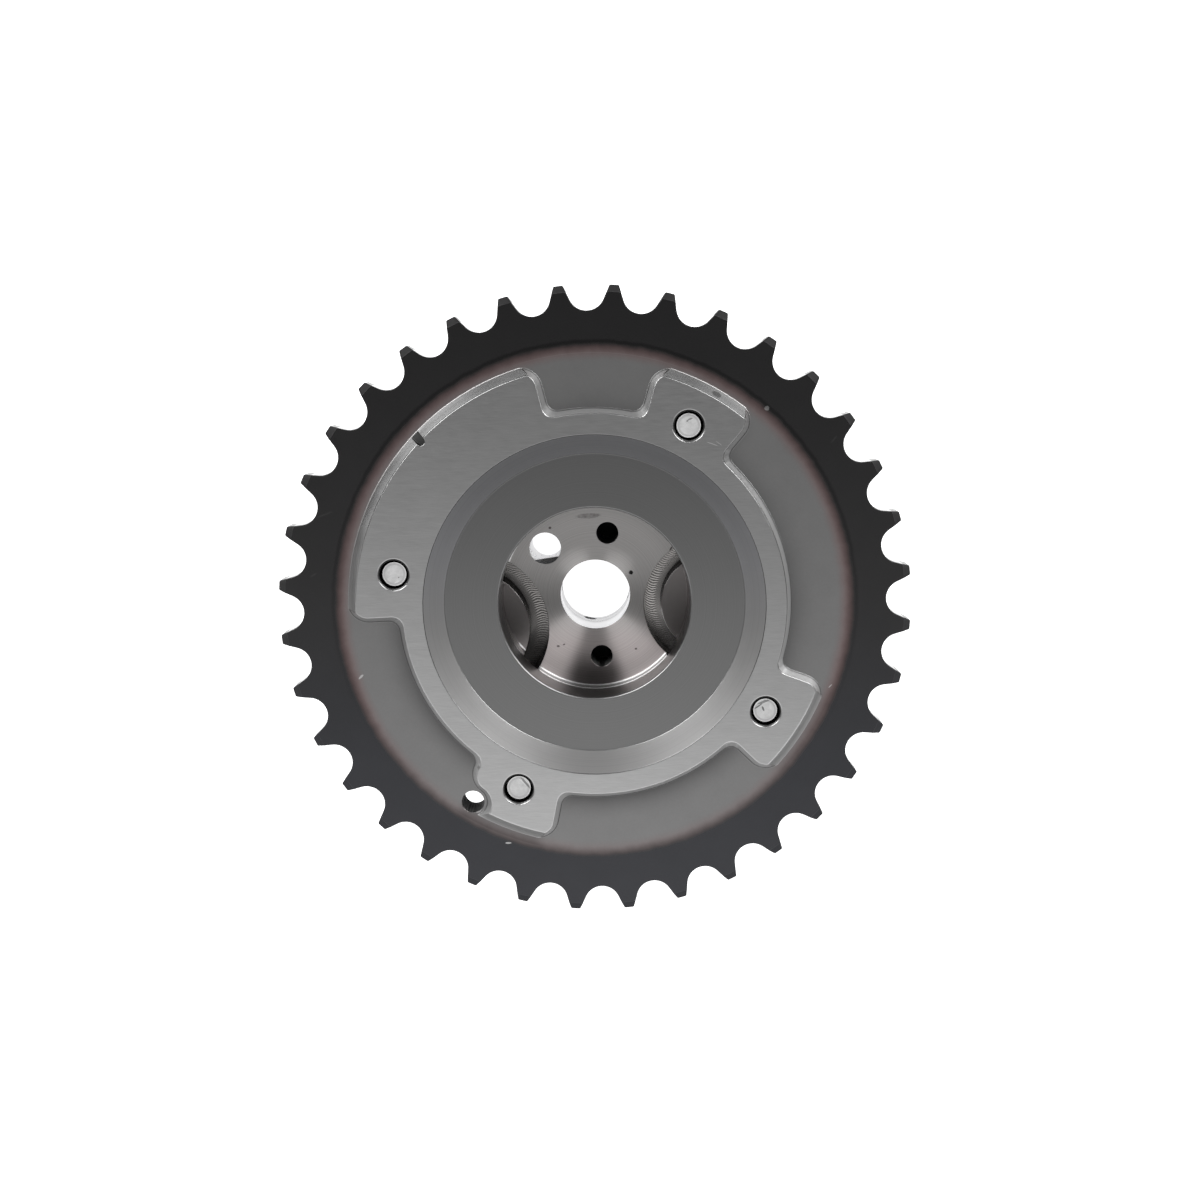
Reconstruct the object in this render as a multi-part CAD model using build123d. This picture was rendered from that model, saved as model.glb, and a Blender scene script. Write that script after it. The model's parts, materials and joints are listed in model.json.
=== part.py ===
from build123d import *
from math import cos, pi, radians, sin, tan
import os

# Hydraulic cam phaser with an integral chain sprocket, millimetres.
# +Z runs along the camshaft axis, out of the side that the camshaft enters.
# The origin lies on the axis, in the middle plane of the sprocket teeth.
# Angles are counted from +X, counter-clockwise as seen from the camshaft.

# Chain and teeth
tooth_count = 36
chain_pitch = 9.525
roller_diameter = 6.35
roller_seat_clearance = 0.02
seat_half_angle = 65.0
tooth_height_over_pitch = 1.28
tooth_width = 5.3
tooth_tip_fillet = 0.3
tooth_tip_bevel_length = 1.2
tooth_tip_bevel_depth = 0.5
tooth_phase = 6.4

# Sprocket plate and the boss behind it
chain_plate_clearance = 8.64
plate_thickness = 7.0
plate_edge_slope = 1.0
bolt_edge_distance = 5.32
sprocket_depth = 10.5
body_chamfer = 0.5

# Signal ring and its four lobes on the camshaft side
lobe_height = 1.6
ring_inside_bolts = 1.85
lobe_edge_past_bolts = 6.27
lobe_blank_past_edge = 0.75
lobe_draft = 31.0
lobe_root_fillet = 2.4
lobe_corner_fillet = 2.8
lobe_spans = [(50.3, 74.8), (104.6, 183.0), (234.8, 259.2), (316.0, 340.2)]
notch_angle = 136.1
notch_width = 1.45
notch_length = 0.87
notch_depth = 1.55

# Dish inside the ring, and the journal bore for the camshaft nose
dish_floor_inside_ring = 7.13
dish_depth = 3.5
journal_radius = 17.05
journal_running_clearance = 0.05
journal_chamfer = 0.2

# Tool hole through the plate
tool_hole_radius = 2.0
tool_hole_inside_lobe_edge = 0.05
tool_hole_angle = 238.5
tool_hole_relief_radius = 3.5
tool_groove_clearance = 0.6

# Clamping bolts
bolt_circle_radius = 35.68
bolt_angles = [62.6, 170.9, 247.6, 328.2]
bolt_radius = 2.5
bolt_thread_clearance = 0.05
bolt_hole_clearance = 0.25
bolt_tip_below_lobes = 1.2
bolt_tip_chamfer = 0.4
bolt_hole_countersink = 0.3
bolt_flange_overhang = 2.1
bolt_flange_thickness = 1.2
bolt_hex_flats = 7.0
bolt_head_height = 4.8
bolt_crown_angle = 30.0
bolt_dish_radius = 2.4
bolt_dish_depth = 0.5

# Rotor, vanes and chambers
rotor_width = 16.7
rotor_side_clearance = 0.05
hub_wall = 4.95
hub_clearance = 0.08
chamber_wall = 6.0
vane_tip_clearance = 0.1
chamber_corner_fillet = 1.5
vane_corner_clearance = 0.1
phase_travel = 30.0
stop_gap_angle = 0.3
free_vane_gap_angle = 1.3
vane_spans = [(80.05, 44.0), (184.5, 20.0), (263.2, 20.0), (348.7, 24.0)]

# Camshaft register, seat and holes in the rotor
register_depth = 2.9
register_fit_clearance = 0.02
register_chamfer = 0.3
centre_bore_radius = 6.4
centre_bore_chamfer = 0.4
dowel_hole_radius = 2.9
dowel_hole_inside_journal = 4.52
dowel_hole_angle = 137.25
port_radius = 2.0
ports_inside_journal = 5.47
port_angles = [79.0, 275.8]
port_depth = 9.5
passage_radius = 1.2
return_passage_depth = 8.1
feed_passage_depth = 11.5
passage_angle_from_vane = 3.4

# Two arc grooves milled in the rotor seat: how far the arc's centre lies outside the journal,
# the centre's angle, and the inner and outer radius
seat_grooves = [(6.71, 195.9, 10.7, 14.3), (4.12, 355.4, 8.95, 12.2)]
seat_groove_depth = 6.0
seat_groove_past_journal = 1.55

# Spot face on the front of the rotor for the head of the central bolt
bolt_spot_width = 5.1
bolt_spot_depth = 0.3

# Tip seals and the leaf springs under them
seal_width = 2.0
seal_height = 2.7
leaf_space = 0.9
seal_slot_clearance = 0.05
seal_running_clearance = 0.03
seal_end_clearance = 0.05
wide_vane_seal_angle = 14.0
leaf_thickness = 0.25
leaf_width = 1.6
leaf_length = 14.0
leaf_clearance = 0.02

# Lock pin, its spring, plug and seat bush
pin_nose_radius = 3.45
pin_head_step = 1.0
pin_running_clearance = 0.05
pin_nose_length = 7.0
pin_head_length = 4.0
pin_tip_chamfer = 0.5
pin_tip_setback = 0.1
lock_travel = 3.0
pin_spring_bore_wall = 0.7
pin_spring_bore_depth = 6.5
plug_thickness = 1.6
plug_setback = 0.2
plug_vent_radius = 1.0
plug_fit_clearance = 0.01
spring_wire_radius = 0.35
spring_side_clearance = 0.2
spring_turns = 6.0
spring_end_clearance = 0.03
lock_seat_wall = 1.9
lock_seat_past_travel = 1.0
lock_seat_bore_clearance = 0.15
lock_seat_fit_clearance = 0.01
release_slot_width = 2.0
release_slot_depth = 0.8

# Front cover
cover_thickness = 4.5
cover_opening_inside_journal = 1.05
cover_opening_chamfer = 0.6

# Locating dowel between the sprocket and the stator
locating_dowel_radius = 2.0
locating_dowel_length = 10.0
locating_dowel_angle = 50.0
locating_dowel_fit_clearance = 0.01
locating_dowel_end_clearance = 0.1

# Levels along the axis, worked out from the sizes above
tooth_face = tooth_width / 2
lobe_face = tooth_face + lobe_height
dish_floor = lobe_face - dish_depth
plate_back = tooth_face - plate_thickness
sprocket_back = tooth_face - sprocket_depth
rotor_back = sprocket_back - rotor_side_clearance
rotor_front = rotor_back - rotor_width
stator_width = rotor_width + 2 * rotor_side_clearance
cover_back = sprocket_back - stator_width
cover_front = cover_back - cover_thickness
seat_face = rotor_back - register_depth

# Radii of the sprocket and the housing, worked out from the sizes above
pitch_radius = chain_pitch / (2 * sin(pi / tooth_count))
roller_seat_radius = roller_diameter / 2 + roller_seat_clearance
tip_radius = pitch_radius + tooth_height_over_pitch
plate_radius = pitch_radius - chain_plate_clearance
body_radius = bolt_circle_radius + bolt_edge_distance
ring_radius = bolt_circle_radius - ring_inside_bolts
lobe_edge_radius = bolt_circle_radius + lobe_edge_past_bolts
lobe_blank_radius = lobe_edge_radius + lobe_blank_past_edge
notch_inner_radius = lobe_edge_radius - notch_length
dish_floor_radius = ring_radius - dish_floor_inside_ring
tool_hole_centre_radius = lobe_edge_radius - tool_hole_inside_lobe_edge
tool_groove_radius = tool_hole_radius + tool_groove_clearance
journal_bore_radius = journal_radius + journal_running_clearance
cover_opening_radius = journal_radius - cover_opening_inside_journal
bolt_flange_radius = bolt_radius + bolt_flange_overhang

# Radii of the chambers and the rotor
chamber_radius = body_radius - chamber_wall
vane_radius = chamber_radius - vane_tip_clearance
hub_radius = journal_radius + hub_wall
web_tip_radius = hub_radius + hub_clearance
vane_corner_chamfer = chamber_corner_fillet + vane_corner_clearance
register_radius = journal_radius + register_fit_clearance
dowel_hole_centre_radius = journal_radius - dowel_hole_inside_journal
port_centre_radius = journal_radius - ports_inside_journal
seat_groove_reach = journal_radius + seat_groove_past_journal
bolt_spot_radius = centre_bore_radius + bolt_spot_width
seal_slot_depth = seal_height + leaf_space

# The lock pin stands in the middle of the widest vane
lock_radius = (hub_radius + vane_radius) / 2
lock_angle = vane_spans[0][0] + vane_spans[0][1] / 2
pin_head_radius = pin_nose_radius + pin_head_step
pin_nose_bore_length = pin_nose_length - lock_travel
pin_spring_bore_radius = pin_nose_radius - pin_spring_bore_wall
spring_coil_radius = pin_spring_bore_radius - spring_wire_radius - spring_side_clearance
lock_seat_bore_radius = pin_nose_radius + lock_seat_bore_clearance
lock_seat_radius = lock_seat_bore_radius + lock_seat_wall
lock_seat_depth = lock_travel + lock_seat_past_travel
cut = 1.0


def at(radius, angle, level=0.0):
    """Point on a cylinder about the main axis."""
    return Vector(radius * cos(radians(angle)), radius * sin(radians(angle)), level)


def radius_of(vertex):
    """Distance of a vertex from the main axis."""
    return Vector(vertex.X, vertex.Y).length


def disc(radius, low, high, centre=(0, 0)):
    """Upright cylinder between two levels."""
    solid = Cylinder(radius, high - low, align=(Align.CENTER, Align.CENTER, Align.MIN))
    return Pos(centre[0], centre[1], low) * solid


def cone(low_radius, high_radius, low, high, centre=(0, 0)):
    """Upright cone between two levels."""
    solid = Cone(low_radius, high_radius, high - low, align=(Align.CENTER, Align.CENTER, Align.MIN))
    return Pos(centre[0], centre[1], low) * solid


def prism(face, low, high):
    """Flat face raised between two levels."""
    return extrude(Pos(0, 0, low) * face, amount=high - low)


def body_disc(low, high):
    """Disc of the housing's outer size, chamfered at both ends."""
    inner = body_radius - body_chamfer
    part = disc(body_radius, low + body_chamfer, high - body_chamfer)
    part += cone(inner, body_radius, low, low + body_chamfer)
    part += cone(body_radius, inner, high - body_chamfer, high)
    return part


def sector(radius, start, end):
    """Pie-shaped face from the axis out to a radius."""
    middle = (start + end) / 2
    rim = ThreePointArc(at(radius, start), at(radius, middle), at(radius, end))
    return make_face([Line((0, 0), at(radius, start)), rim, Line(at(radius, end), (0, 0))])


def drilling(start, end, radius):
    """Round hole between two points."""
    axis = Vector(*end) - Vector(*start)
    solid = Cylinder(radius, axis.length, align=(Align.CENTER, Align.CENTER, Align.MIN))
    return Plane(origin=start, z_dir=axis) * solid


def tooth_gap():
    """Space for one chain roller: a round seat and two straight flanks."""
    side = roller_seat_radius * sin(radians(seat_half_angle))
    depth = pitch_radius - roller_seat_radius * cos(radians(seat_half_angle))
    outer = tip_radius + cut
    wide = side + (outer - depth) * tan(radians(90 - seat_half_angle))
    seat = ThreePointArc((depth, -side), (pitch_radius - roller_seat_radius, 0), (depth, side))
    flanks = [Line((depth, side), (outer, wide)), Line((outer, -wide), (depth, -side))]
    return make_face([seat, flanks[0], Line((outer, wide), (outer, -wide)), flanks[1]])


def toothed_band():
    """Ring of chain teeth, their tips rounded at the corners and bevelled on both sides."""
    gap = tooth_gap()
    face = Circle(tip_radius)
    step = 360 / tooth_count
    face -= [Rot(0, 0, tooth_phase + step * (k + 0.5)) * gap for k in range(tooth_count)]
    tips = [v for v in face.vertices() if abs(radius_of(v) - tip_radius) < 0.01]
    face = fillet(tips, tooth_tip_fillet)
    bevelled_radius = tip_radius - tooth_tip_bevel_length
    straight = tooth_face - tooth_tip_bevel_depth
    envelope = disc(tip_radius, -straight, straight)
    envelope += cone(tip_radius, bevelled_radius, straight, tooth_face)
    envelope += cone(bevelled_radius, tip_radius, -tooth_face, -straight)
    return prism(face, -tooth_face, tooth_face) & envelope


def signal_ring():
    """Raised ring with four lobes, pressed with drafted sides, its outer edge turned at 45 degrees."""
    face = Circle(ring_radius)
    for start, end in lobe_spans:
        face += sector(lobe_blank_radius, start, end)
    relief = at(tool_hole_centre_radius, tool_hole_angle)
    face -= Pos(relief.X, relief.Y) * Circle(tool_hole_relief_radius)
    # The two ends of the hole's relief differ: its inner end is rounded, its outer end stays sharp.
    sharp_reach = tool_hole_relief_radius + lobe_corner_fillet
    middle_radius = (ring_radius + lobe_blank_radius) / 2
    corners = []
    for vertex in face.vertices():
        on_rim = radius_of(vertex) > lobe_blank_radius - 0.1
        by_relief = (Vector(vertex.X, vertex.Y) - relief).length < sharp_reach
        if radius_of(vertex) > middle_radius and not (on_rim and by_relief):
            corners.append(vertex)
    face = fillet(corners, lobe_corner_fillet)
    top = Pos(0, 0, lobe_face) * face
    blank = extrude(top, amount=lobe_height, dir=(0, 0, -1), taper=-lobe_draft)
    # The sides of a lobe run into the ring's side with the same round from top to bottom.
    roots = []
    for edge in blank.edges():
        upper = max(edge.vertices(), key=lambda vertex: vertex.Z)
        lower = min(edge.vertices(), key=lambda vertex: vertex.Z)
        if upper.Z > lower.Z + cut and abs(radius_of(upper) - ring_radius) < 0.1:
            roots.append(edge)
    blank = fillet(roots, lobe_root_fillet)
    rim_base = lobe_edge_radius + lobe_height
    return blank & cone(rim_base, lobe_edge_radius, tooth_face, lobe_face)


def signal_notch():
    """Timing mark in the edge of the long lobe, with a round inner end."""
    outer = lobe_edge_radius + lobe_height + cut
    centre = notch_inner_radius + notch_width / 2
    face = Pos(centre, 0) * Circle(notch_width / 2)
    length = outer - centre
    face += Pos(centre + length / 2, 0) * Rectangle(length, notch_width)
    return Rot(0, 0, notch_angle) * prism(face, lobe_face - notch_depth, lobe_face + cut)


def sprocket():
    """One sintered piece: teeth, plate, signal ring, dish and the boss that closes the chambers."""
    part = toothed_band()
    part += disc(plate_radius, plate_back + plate_edge_slope, 0)
    part += cone(plate_radius - plate_edge_slope, plate_radius, plate_back, plate_back + plate_edge_slope)
    part += body_disc(sprocket_back, plate_back + cut)
    part += signal_ring()
    part -= signal_notch()
    part -= cone(dish_floor_radius, dish_floor_radius + dish_depth + cut, dish_floor, lobe_face + cut)
    part -= disc(journal_bore_radius, sprocket_back - cut, dish_floor + cut)
    part -= cone(journal_bore_radius, journal_bore_radius + journal_chamfer + cut,
                 dish_floor - journal_chamfer, dish_floor + cut)
    part -= cone(journal_bore_radius + journal_chamfer + cut, journal_bore_radius,
                 sprocket_back - cut, sprocket_back + journal_chamfer)
    tool = at(tool_hole_centre_radius, tool_hole_angle)
    part -= disc(tool_hole_radius, sprocket_back - cut, lobe_face + cut, (tool.X, tool.Y))
    thread_radius = bolt_radius + bolt_thread_clearance
    for angle in bolt_angles:
        hole = at(bolt_circle_radius, angle)
        centre = (hole.X, hole.Y)
        part -= disc(thread_radius, sprocket_back - cut, lobe_face + cut, centre)
        part -= cone(thread_radius, thread_radius + bolt_hole_countersink + cut,
                     lobe_face - bolt_hole_countersink, lobe_face + cut, centre)
    seat = at(lock_radius, lock_angle)
    part -= disc(lock_seat_radius + lock_seat_fit_clearance, sprocket_back - cut,
                 sprocket_back + lock_seat_depth + lock_seat_fit_clearance, (seat.X, seat.Y))
    dowel = at(bolt_circle_radius, locating_dowel_angle)
    half = locating_dowel_length / 2 + locating_dowel_end_clearance
    part -= disc(locating_dowel_radius + locating_dowel_fit_clearance, sprocket_back - cut,
                 sprocket_back + half, (dowel.X, dowel.Y))
    return part


def seal_angles():
    """Angle of the tip seal in each vane, clear of the lock pin in the wide one."""
    angles = [start + width / 2 for start, width in vane_spans]
    angles[0] += wide_vane_seal_angle
    return angles


def chamber_spans():
    """Start and end angle of each oil chamber."""
    spans = []
    for index, (start, width) in enumerate(vane_spans):
        gap = stop_gap_angle if index == 0 else free_vane_gap_angle
        spans.append((start - gap, start + width + phase_travel + gap))
    return spans


def web_angles():
    """Middle angle of the web between each chamber and the one after it."""
    spans = chamber_spans()
    middles = []
    for index, (start, end) in enumerate(spans):
        following = spans[(index + 1) % len(spans)][0]
        while following < end:
            following += 360
        middles.append(((end + following) / 2) % 360)
    return middles


def seal_slot(slot_root, opening, angle, low, high):
    """Radial slot for a seal, along the whole width."""
    width = seal_width + 2 * seal_slot_clearance
    middle = (slot_root + opening) / 2
    box = Pos(middle, 0, (low + high) / 2) * Box(abs(opening - slot_root), width, high - low)
    return Rot(0, 0, angle) * box


def tool_groove(low, high):
    """Groove down the side of the housing, in line with the tool hole in the plate."""
    tool = at(tool_hole_centre_radius, tool_hole_angle)
    return disc(tool_groove_radius, low - cut, high + cut, (tool.X, tool.Y))


def stator():
    """Ring with four webs that part the chambers."""
    low = cover_back
    high = sprocket_back
    face = Circle(body_radius) - Circle(web_tip_radius)
    for start, end in chamber_spans():
        face -= sector(chamber_radius, start, end)
    corners = [v for v in face.vertices() if abs(Vector(v.X, v.Y).length - chamber_radius) < 0.01]
    face = fillet(corners, chamber_corner_fillet)
    part = prism(face, low, high) & body_disc(low, high)
    part -= tool_groove(low, high)
    for angle in bolt_angles:
        hole = at(bolt_circle_radius, angle)
        part -= disc(bolt_radius + bolt_hole_clearance, low - cut, high + cut, (hole.X, hole.Y))
    for angle in web_angles():
        part -= seal_slot(web_tip_radius + seal_slot_depth, web_tip_radius - cut, angle, low - cut, high + cut)
    dowel = at(bolt_circle_radius, locating_dowel_angle)
    half = locating_dowel_length / 2 + locating_dowel_end_clearance
    part -= disc(locating_dowel_radius + locating_dowel_fit_clearance, high - half, high + cut,
                 (dowel.X, dowel.Y))
    return part


def front_cover():
    """Flat plate that closes the chambers on the side away from the camshaft."""
    part = body_disc(cover_front, cover_back)
    part -= tool_groove(cover_front, cover_back)
    part -= disc(cover_opening_radius, cover_front - cut, cover_back + cut)
    part -= cone(cover_opening_radius + cover_opening_chamfer + cut, cover_opening_radius,
                 cover_front - cut, cover_front + cover_opening_chamfer)
    for angle in bolt_angles:
        hole = at(bolt_circle_radius, angle)
        part -= disc(bolt_radius + bolt_hole_clearance, cover_front - cut, cover_back + cut,
                     (hole.X, hole.Y))
    return part


def seat_groove(past_journal, centre_angle, inner_radius, outer_radius):
    """Arc groove that crosses the seat and breaks out through the register wall."""
    centre = at(journal_radius + past_journal, centre_angle)
    ring = Pos(centre.X, centre.Y) * (Circle(outer_radius) - Circle(inner_radius))
    face = ring & Circle(seat_groove_reach)
    return prism(face, seat_face - seat_groove_depth, rotor_back + cut)


def oil_passages():
    """Feed drillings from the centre bore, and return drillings from the two ports, to each vane."""
    feed_level = seat_face - feed_passage_depth
    return_level = seat_face - return_passage_depth
    holes = []
    for index, (start, width) in enumerate(vane_spans):
        feed_angle = start - passage_angle_from_vane
        holes.append(drilling(at(centre_bore_radius - cut, feed_angle, feed_level),
                              at(hub_radius + cut, feed_angle, feed_level), passage_radius))
        return_angle = start + width + passage_angle_from_vane
        port_angle = port_angles[0] if index in (0, 3) else port_angles[1]
        port = at(port_centre_radius, port_angle, return_level)
        holes.append(drilling(port, at(hub_radius + cut, return_angle, return_level), passage_radius))
    return holes


def rotor():
    """Hub with four vanes, the register and seat for the camshaft, and the lock pin bore."""
    face = Circle(hub_radius)
    for start, width in vane_spans:
        face += sector(vane_radius, start, start + width)
    tips = [v for v in face.vertices() if abs(Vector(v.X, v.Y).length - vane_radius) < 0.01]
    face = chamfer(tips, vane_corner_chamfer)
    part = prism(face, rotor_front, rotor_back)
    part -= disc(register_radius, seat_face, rotor_back + cut)
    part -= cone(register_radius, register_radius + register_chamfer + cut,
                 rotor_back - register_chamfer, rotor_back + cut)
    spot_face = rotor_front + bolt_spot_depth
    part -= disc(centre_bore_radius, rotor_front - cut, rotor_back)
    part -= disc(bolt_spot_radius, rotor_front - cut, spot_face)
    part -= cone(centre_bore_radius + centre_bore_chamfer + cut, centre_bore_radius,
                 spot_face - cut, spot_face + centre_bore_chamfer)
    dowel = at(dowel_hole_centre_radius, dowel_hole_angle)
    part -= disc(dowel_hole_radius, rotor_front - cut, rotor_back, (dowel.X, dowel.Y))
    for angle in port_angles:
        port = at(port_centre_radius, angle)
        part -= disc(port_radius, seat_face - port_depth, rotor_back, (port.X, port.Y))
    for groove in seat_grooves:
        part -= seat_groove(*groove)
    for hole in oil_passages():
        part -= hole
    for angle in seal_angles():
        part -= seal_slot(vane_radius - seal_slot_depth, vane_radius + cut, angle,
                          rotor_front - cut, rotor_back + cut)
    lock = at(lock_radius, lock_angle)
    centre = (lock.X, lock.Y)
    step = rotor_back - pin_nose_bore_length
    part -= disc(pin_nose_radius + pin_running_clearance, rotor_front - cut, rotor_back + cut, centre)
    part -= disc(pin_head_radius + pin_running_clearance, rotor_front - cut, step, centre)
    reach = vane_radius * sin(radians(vane_spans[0][1] / 2)) + cut
    slot = Box(release_slot_width, reach, 2 * release_slot_depth)
    part -= Rot(0, 0, lock_angle) * Pos(lock_radius, -reach / 2, rotor_back) * slot
    return part


def bolt(angle):
    """Flanged hexagon bolt with a dished head, its tip just under the lobe face."""
    low = cover_front - bolt_head_height
    tip = lobe_face - bolt_tip_below_lobes
    part = disc(bolt_radius, cover_front, tip - bolt_tip_chamfer)
    part += cone(bolt_radius, bolt_radius - bolt_tip_chamfer, tip - bolt_tip_chamfer, tip)
    part += disc(bolt_flange_radius, cover_front - bolt_flange_thickness, cover_front)
    hexagon = RegularPolygon(bolt_hex_flats / 2, 6, major_radius=False)
    crown_radius = bolt_hex_flats / 2
    spread = bolt_head_height / tan(radians(bolt_crown_angle))
    crown = cone(crown_radius, crown_radius + spread, low, cover_front)
    part += prism(hexagon, low, cover_front - bolt_flange_thickness) & crown
    part -= disc(bolt_dish_radius, low - cut, low + bolt_dish_depth)
    place = at(bolt_circle_radius, angle)
    return Pos(place.X, place.Y, 0) * Rot(0, 0, angle) * part


def seal(inner, outer, angle, low, high):
    """Straight sealing bar along the axis, from an inner to an outer radius."""
    bar = Pos((inner + outer) / 2, 0, (low + high) / 2) * Box(outer - inner, seal_width, high - low)
    return Rot(0, 0, angle) * bar


def leaf(root, crown, angle, middle_level):
    """Bowed leaf spring: its ends press on the slot root and its crown on the seal."""
    step = leaf_thickness if crown > root else -leaf_thickness
    half = leaf_length / 2
    near = ThreePointArc((root, -half), (crown - step, 0), (root, half))
    far = ThreePointArc((root + step, half), (crown, 0), (root + step, -half))
    ends = [Line((root, half), (root + step, half)), Line((root + step, -half), (root, -half))]
    face = make_face([near, ends[0], far, ends[1]])
    strip = extrude(Plane.XZ * face, amount=leaf_width / 2, both=True)
    return Rot(0, 0, angle) * Pos(0, 0, middle_level) * strip


def vane_seal(angle):
    """Seal at a vane tip, running on the chamber wall."""
    outer = chamber_radius - seal_running_clearance
    bar = seal(outer - seal_height, outer, angle, rotor_front + seal_end_clearance,
               rotor_back - seal_end_clearance)
    return bar & disc(outer, rotor_front, rotor_back)


def vane_leaf(angle):
    """Leaf spring under a vane seal."""
    root = vane_radius - seal_slot_depth + leaf_clearance
    crown = chamber_radius - seal_running_clearance - seal_height - leaf_clearance
    return leaf(root, crown, angle, (rotor_front + rotor_back) / 2)


def web_seal(angle):
    """Seal at a web tip, running on the rotor hub."""
    inner = hub_radius + seal_running_clearance
    bar = seal(inner - cut, inner + seal_height, angle, cover_back + seal_end_clearance,
               sprocket_back - seal_end_clearance)
    return bar - disc(inner, cover_back, sprocket_back)


def web_leaf(angle):
    """Leaf spring behind a web seal."""
    root = web_tip_radius + seal_slot_depth - leaf_clearance
    crown = hub_radius + seal_running_clearance + seal_height + leaf_clearance
    return leaf(root, crown, angle, (cover_back + sprocket_back) / 2)


def pin_levels():
    """Levels of the lock pin's tip, shoulder and tail with the pin drawn back."""
    tip = rotor_back - pin_tip_setback
    shoulder = tip - pin_nose_length
    tail = shoulder - pin_head_length
    return tip, shoulder, tail


def lock_pin():
    """Stepped pin with a chamfered nose and a spring bore in its tail."""
    tip, shoulder, tail = pin_levels()
    lock = at(lock_radius, lock_angle)
    centre = (lock.X, lock.Y)
    part = disc(pin_nose_radius, shoulder, tip - pin_tip_chamfer, centre)
    part += cone(pin_nose_radius, pin_nose_radius - pin_tip_chamfer, tip - pin_tip_chamfer, tip, centre)
    part += disc(pin_head_radius, tail, shoulder, centre)
    part -= disc(pin_spring_bore_radius, tail - cut, tail + pin_spring_bore_depth, centre)
    return part


def spring_levels():
    """Levels of the lock spring's two ends: on the plug and in the pin."""
    tail = pin_levels()[2]
    plug_face = rotor_front + plug_setback + plug_thickness
    return plug_face + spring_end_clearance, tail + pin_spring_bore_depth - spring_end_clearance


def lock_pin_spring():
    """Compression spring between the plug and the pin."""
    low, high = spring_levels()
    rise = high - low - 2 * spring_wire_radius
    lock = at(lock_radius, lock_angle)
    path = Helix(pitch=rise / spring_turns, height=rise, radius=spring_coil_radius)
    section = Plane(origin=path @ 0, z_dir=path % 0) * Circle(spring_wire_radius)
    wire = sweep(section, path=path)
    return Pos(lock.X, lock.Y, low + spring_wire_radius) * wire


def lock_pin_plug():
    """Vented plug that closes the pin bore."""
    lock = at(lock_radius, lock_angle)
    centre = (lock.X, lock.Y)
    low = rotor_front + plug_setback
    bore = pin_head_radius + pin_running_clearance
    part = disc(bore - plug_fit_clearance, low, low + plug_thickness, centre)
    part -= disc(plug_vent_radius, low - cut, low + plug_thickness + cut, centre)
    return part


def lock_seat():
    """Hardened bush in the sprocket that the pin enters when the phaser is parked."""
    lock = at(lock_radius, lock_angle)
    centre = (lock.X, lock.Y)
    part = disc(lock_seat_radius, sprocket_back, sprocket_back + lock_seat_depth, centre)
    part -= disc(lock_seat_bore_radius, sprocket_back - cut, sprocket_back + lock_seat_depth + cut, centre)
    return part


def locating_dowel():
    """Dowel that holds the stator in line with the sprocket."""
    dowel = at(bolt_circle_radius, locating_dowel_angle)
    half = locating_dowel_length / 2
    return disc(locating_dowel_radius, sprocket_back - half, sprocket_back + half, (dowel.X, dowel.Y))


def all_parts():
    """Every sub-part by the name of its node."""
    parts = {
        "sprocket": sprocket(),
        "stator": stator(),
        "front_cover": front_cover(),
        "rotor": rotor(),
        "lock_pin": lock_pin(),
        "lock_pin_spring": lock_pin_spring(),
        "lock_pin_plug": lock_pin_plug(),
        "lock_seat_bush": lock_seat(),
        "locating_dowel": locating_dowel(),
    }
    for number, angle in enumerate(bolt_angles, start=1):
        parts[f"cover_bolt_{number}"] = bolt(angle)
    for number, angle in enumerate(seal_angles(), start=1):
        parts[f"vane_seal_{number}"] = vane_seal(angle)
        parts[f"vane_seal_spring_{number}"] = vane_leaf(angle)
    for number, angle in enumerate(web_angles(), start=1):
        parts[f"web_seal_{number}"] = web_seal(angle)
        parts[f"web_seal_spring_{number}"] = web_leaf(angle)
    return parts


os.makedirs("parts", exist_ok=True)
for node, solid in all_parts().items():
    export_step(solid, f"parts/{node}.step")
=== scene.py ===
"""Looks of a hydraulic cam phaser with its chain sprocket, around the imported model.

Sizes are in millimetres in the classes and in metres in the meshes. +Z runs along the
camshaft axis, out of the side that the camshaft enters. Angles are in degrees about it.
"""

import json
import logging
import math
from collections.abc import Callable, Iterator
from contextlib import contextmanager
from dataclasses import dataclass
from enum import Enum
from functools import reduce

import bmesh
import bpy
from mathutils import Matrix, Vector


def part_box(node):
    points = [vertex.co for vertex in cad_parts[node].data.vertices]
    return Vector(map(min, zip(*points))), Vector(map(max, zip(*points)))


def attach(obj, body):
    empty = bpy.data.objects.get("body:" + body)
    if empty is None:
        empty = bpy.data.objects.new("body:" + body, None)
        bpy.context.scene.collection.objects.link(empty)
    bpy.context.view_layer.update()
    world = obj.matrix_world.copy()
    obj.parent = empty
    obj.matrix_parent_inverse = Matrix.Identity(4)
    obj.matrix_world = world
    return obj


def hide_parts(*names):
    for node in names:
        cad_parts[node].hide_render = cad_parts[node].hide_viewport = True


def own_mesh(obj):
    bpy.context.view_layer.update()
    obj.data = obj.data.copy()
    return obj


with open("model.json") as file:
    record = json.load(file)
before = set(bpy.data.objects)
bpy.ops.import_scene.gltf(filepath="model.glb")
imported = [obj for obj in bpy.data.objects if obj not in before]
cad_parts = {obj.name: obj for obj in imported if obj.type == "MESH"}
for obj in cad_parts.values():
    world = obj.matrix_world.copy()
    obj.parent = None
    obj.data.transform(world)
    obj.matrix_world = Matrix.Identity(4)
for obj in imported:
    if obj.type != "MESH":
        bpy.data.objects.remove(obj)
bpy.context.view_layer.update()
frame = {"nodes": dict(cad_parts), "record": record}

log = logging.getLogger("cam_phaser")

MM = 0.001

Socket = bpy.types.NodeSocket
Value = Socket | float | tuple[float, ...]
Colour = tuple[float, float, float]


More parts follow.
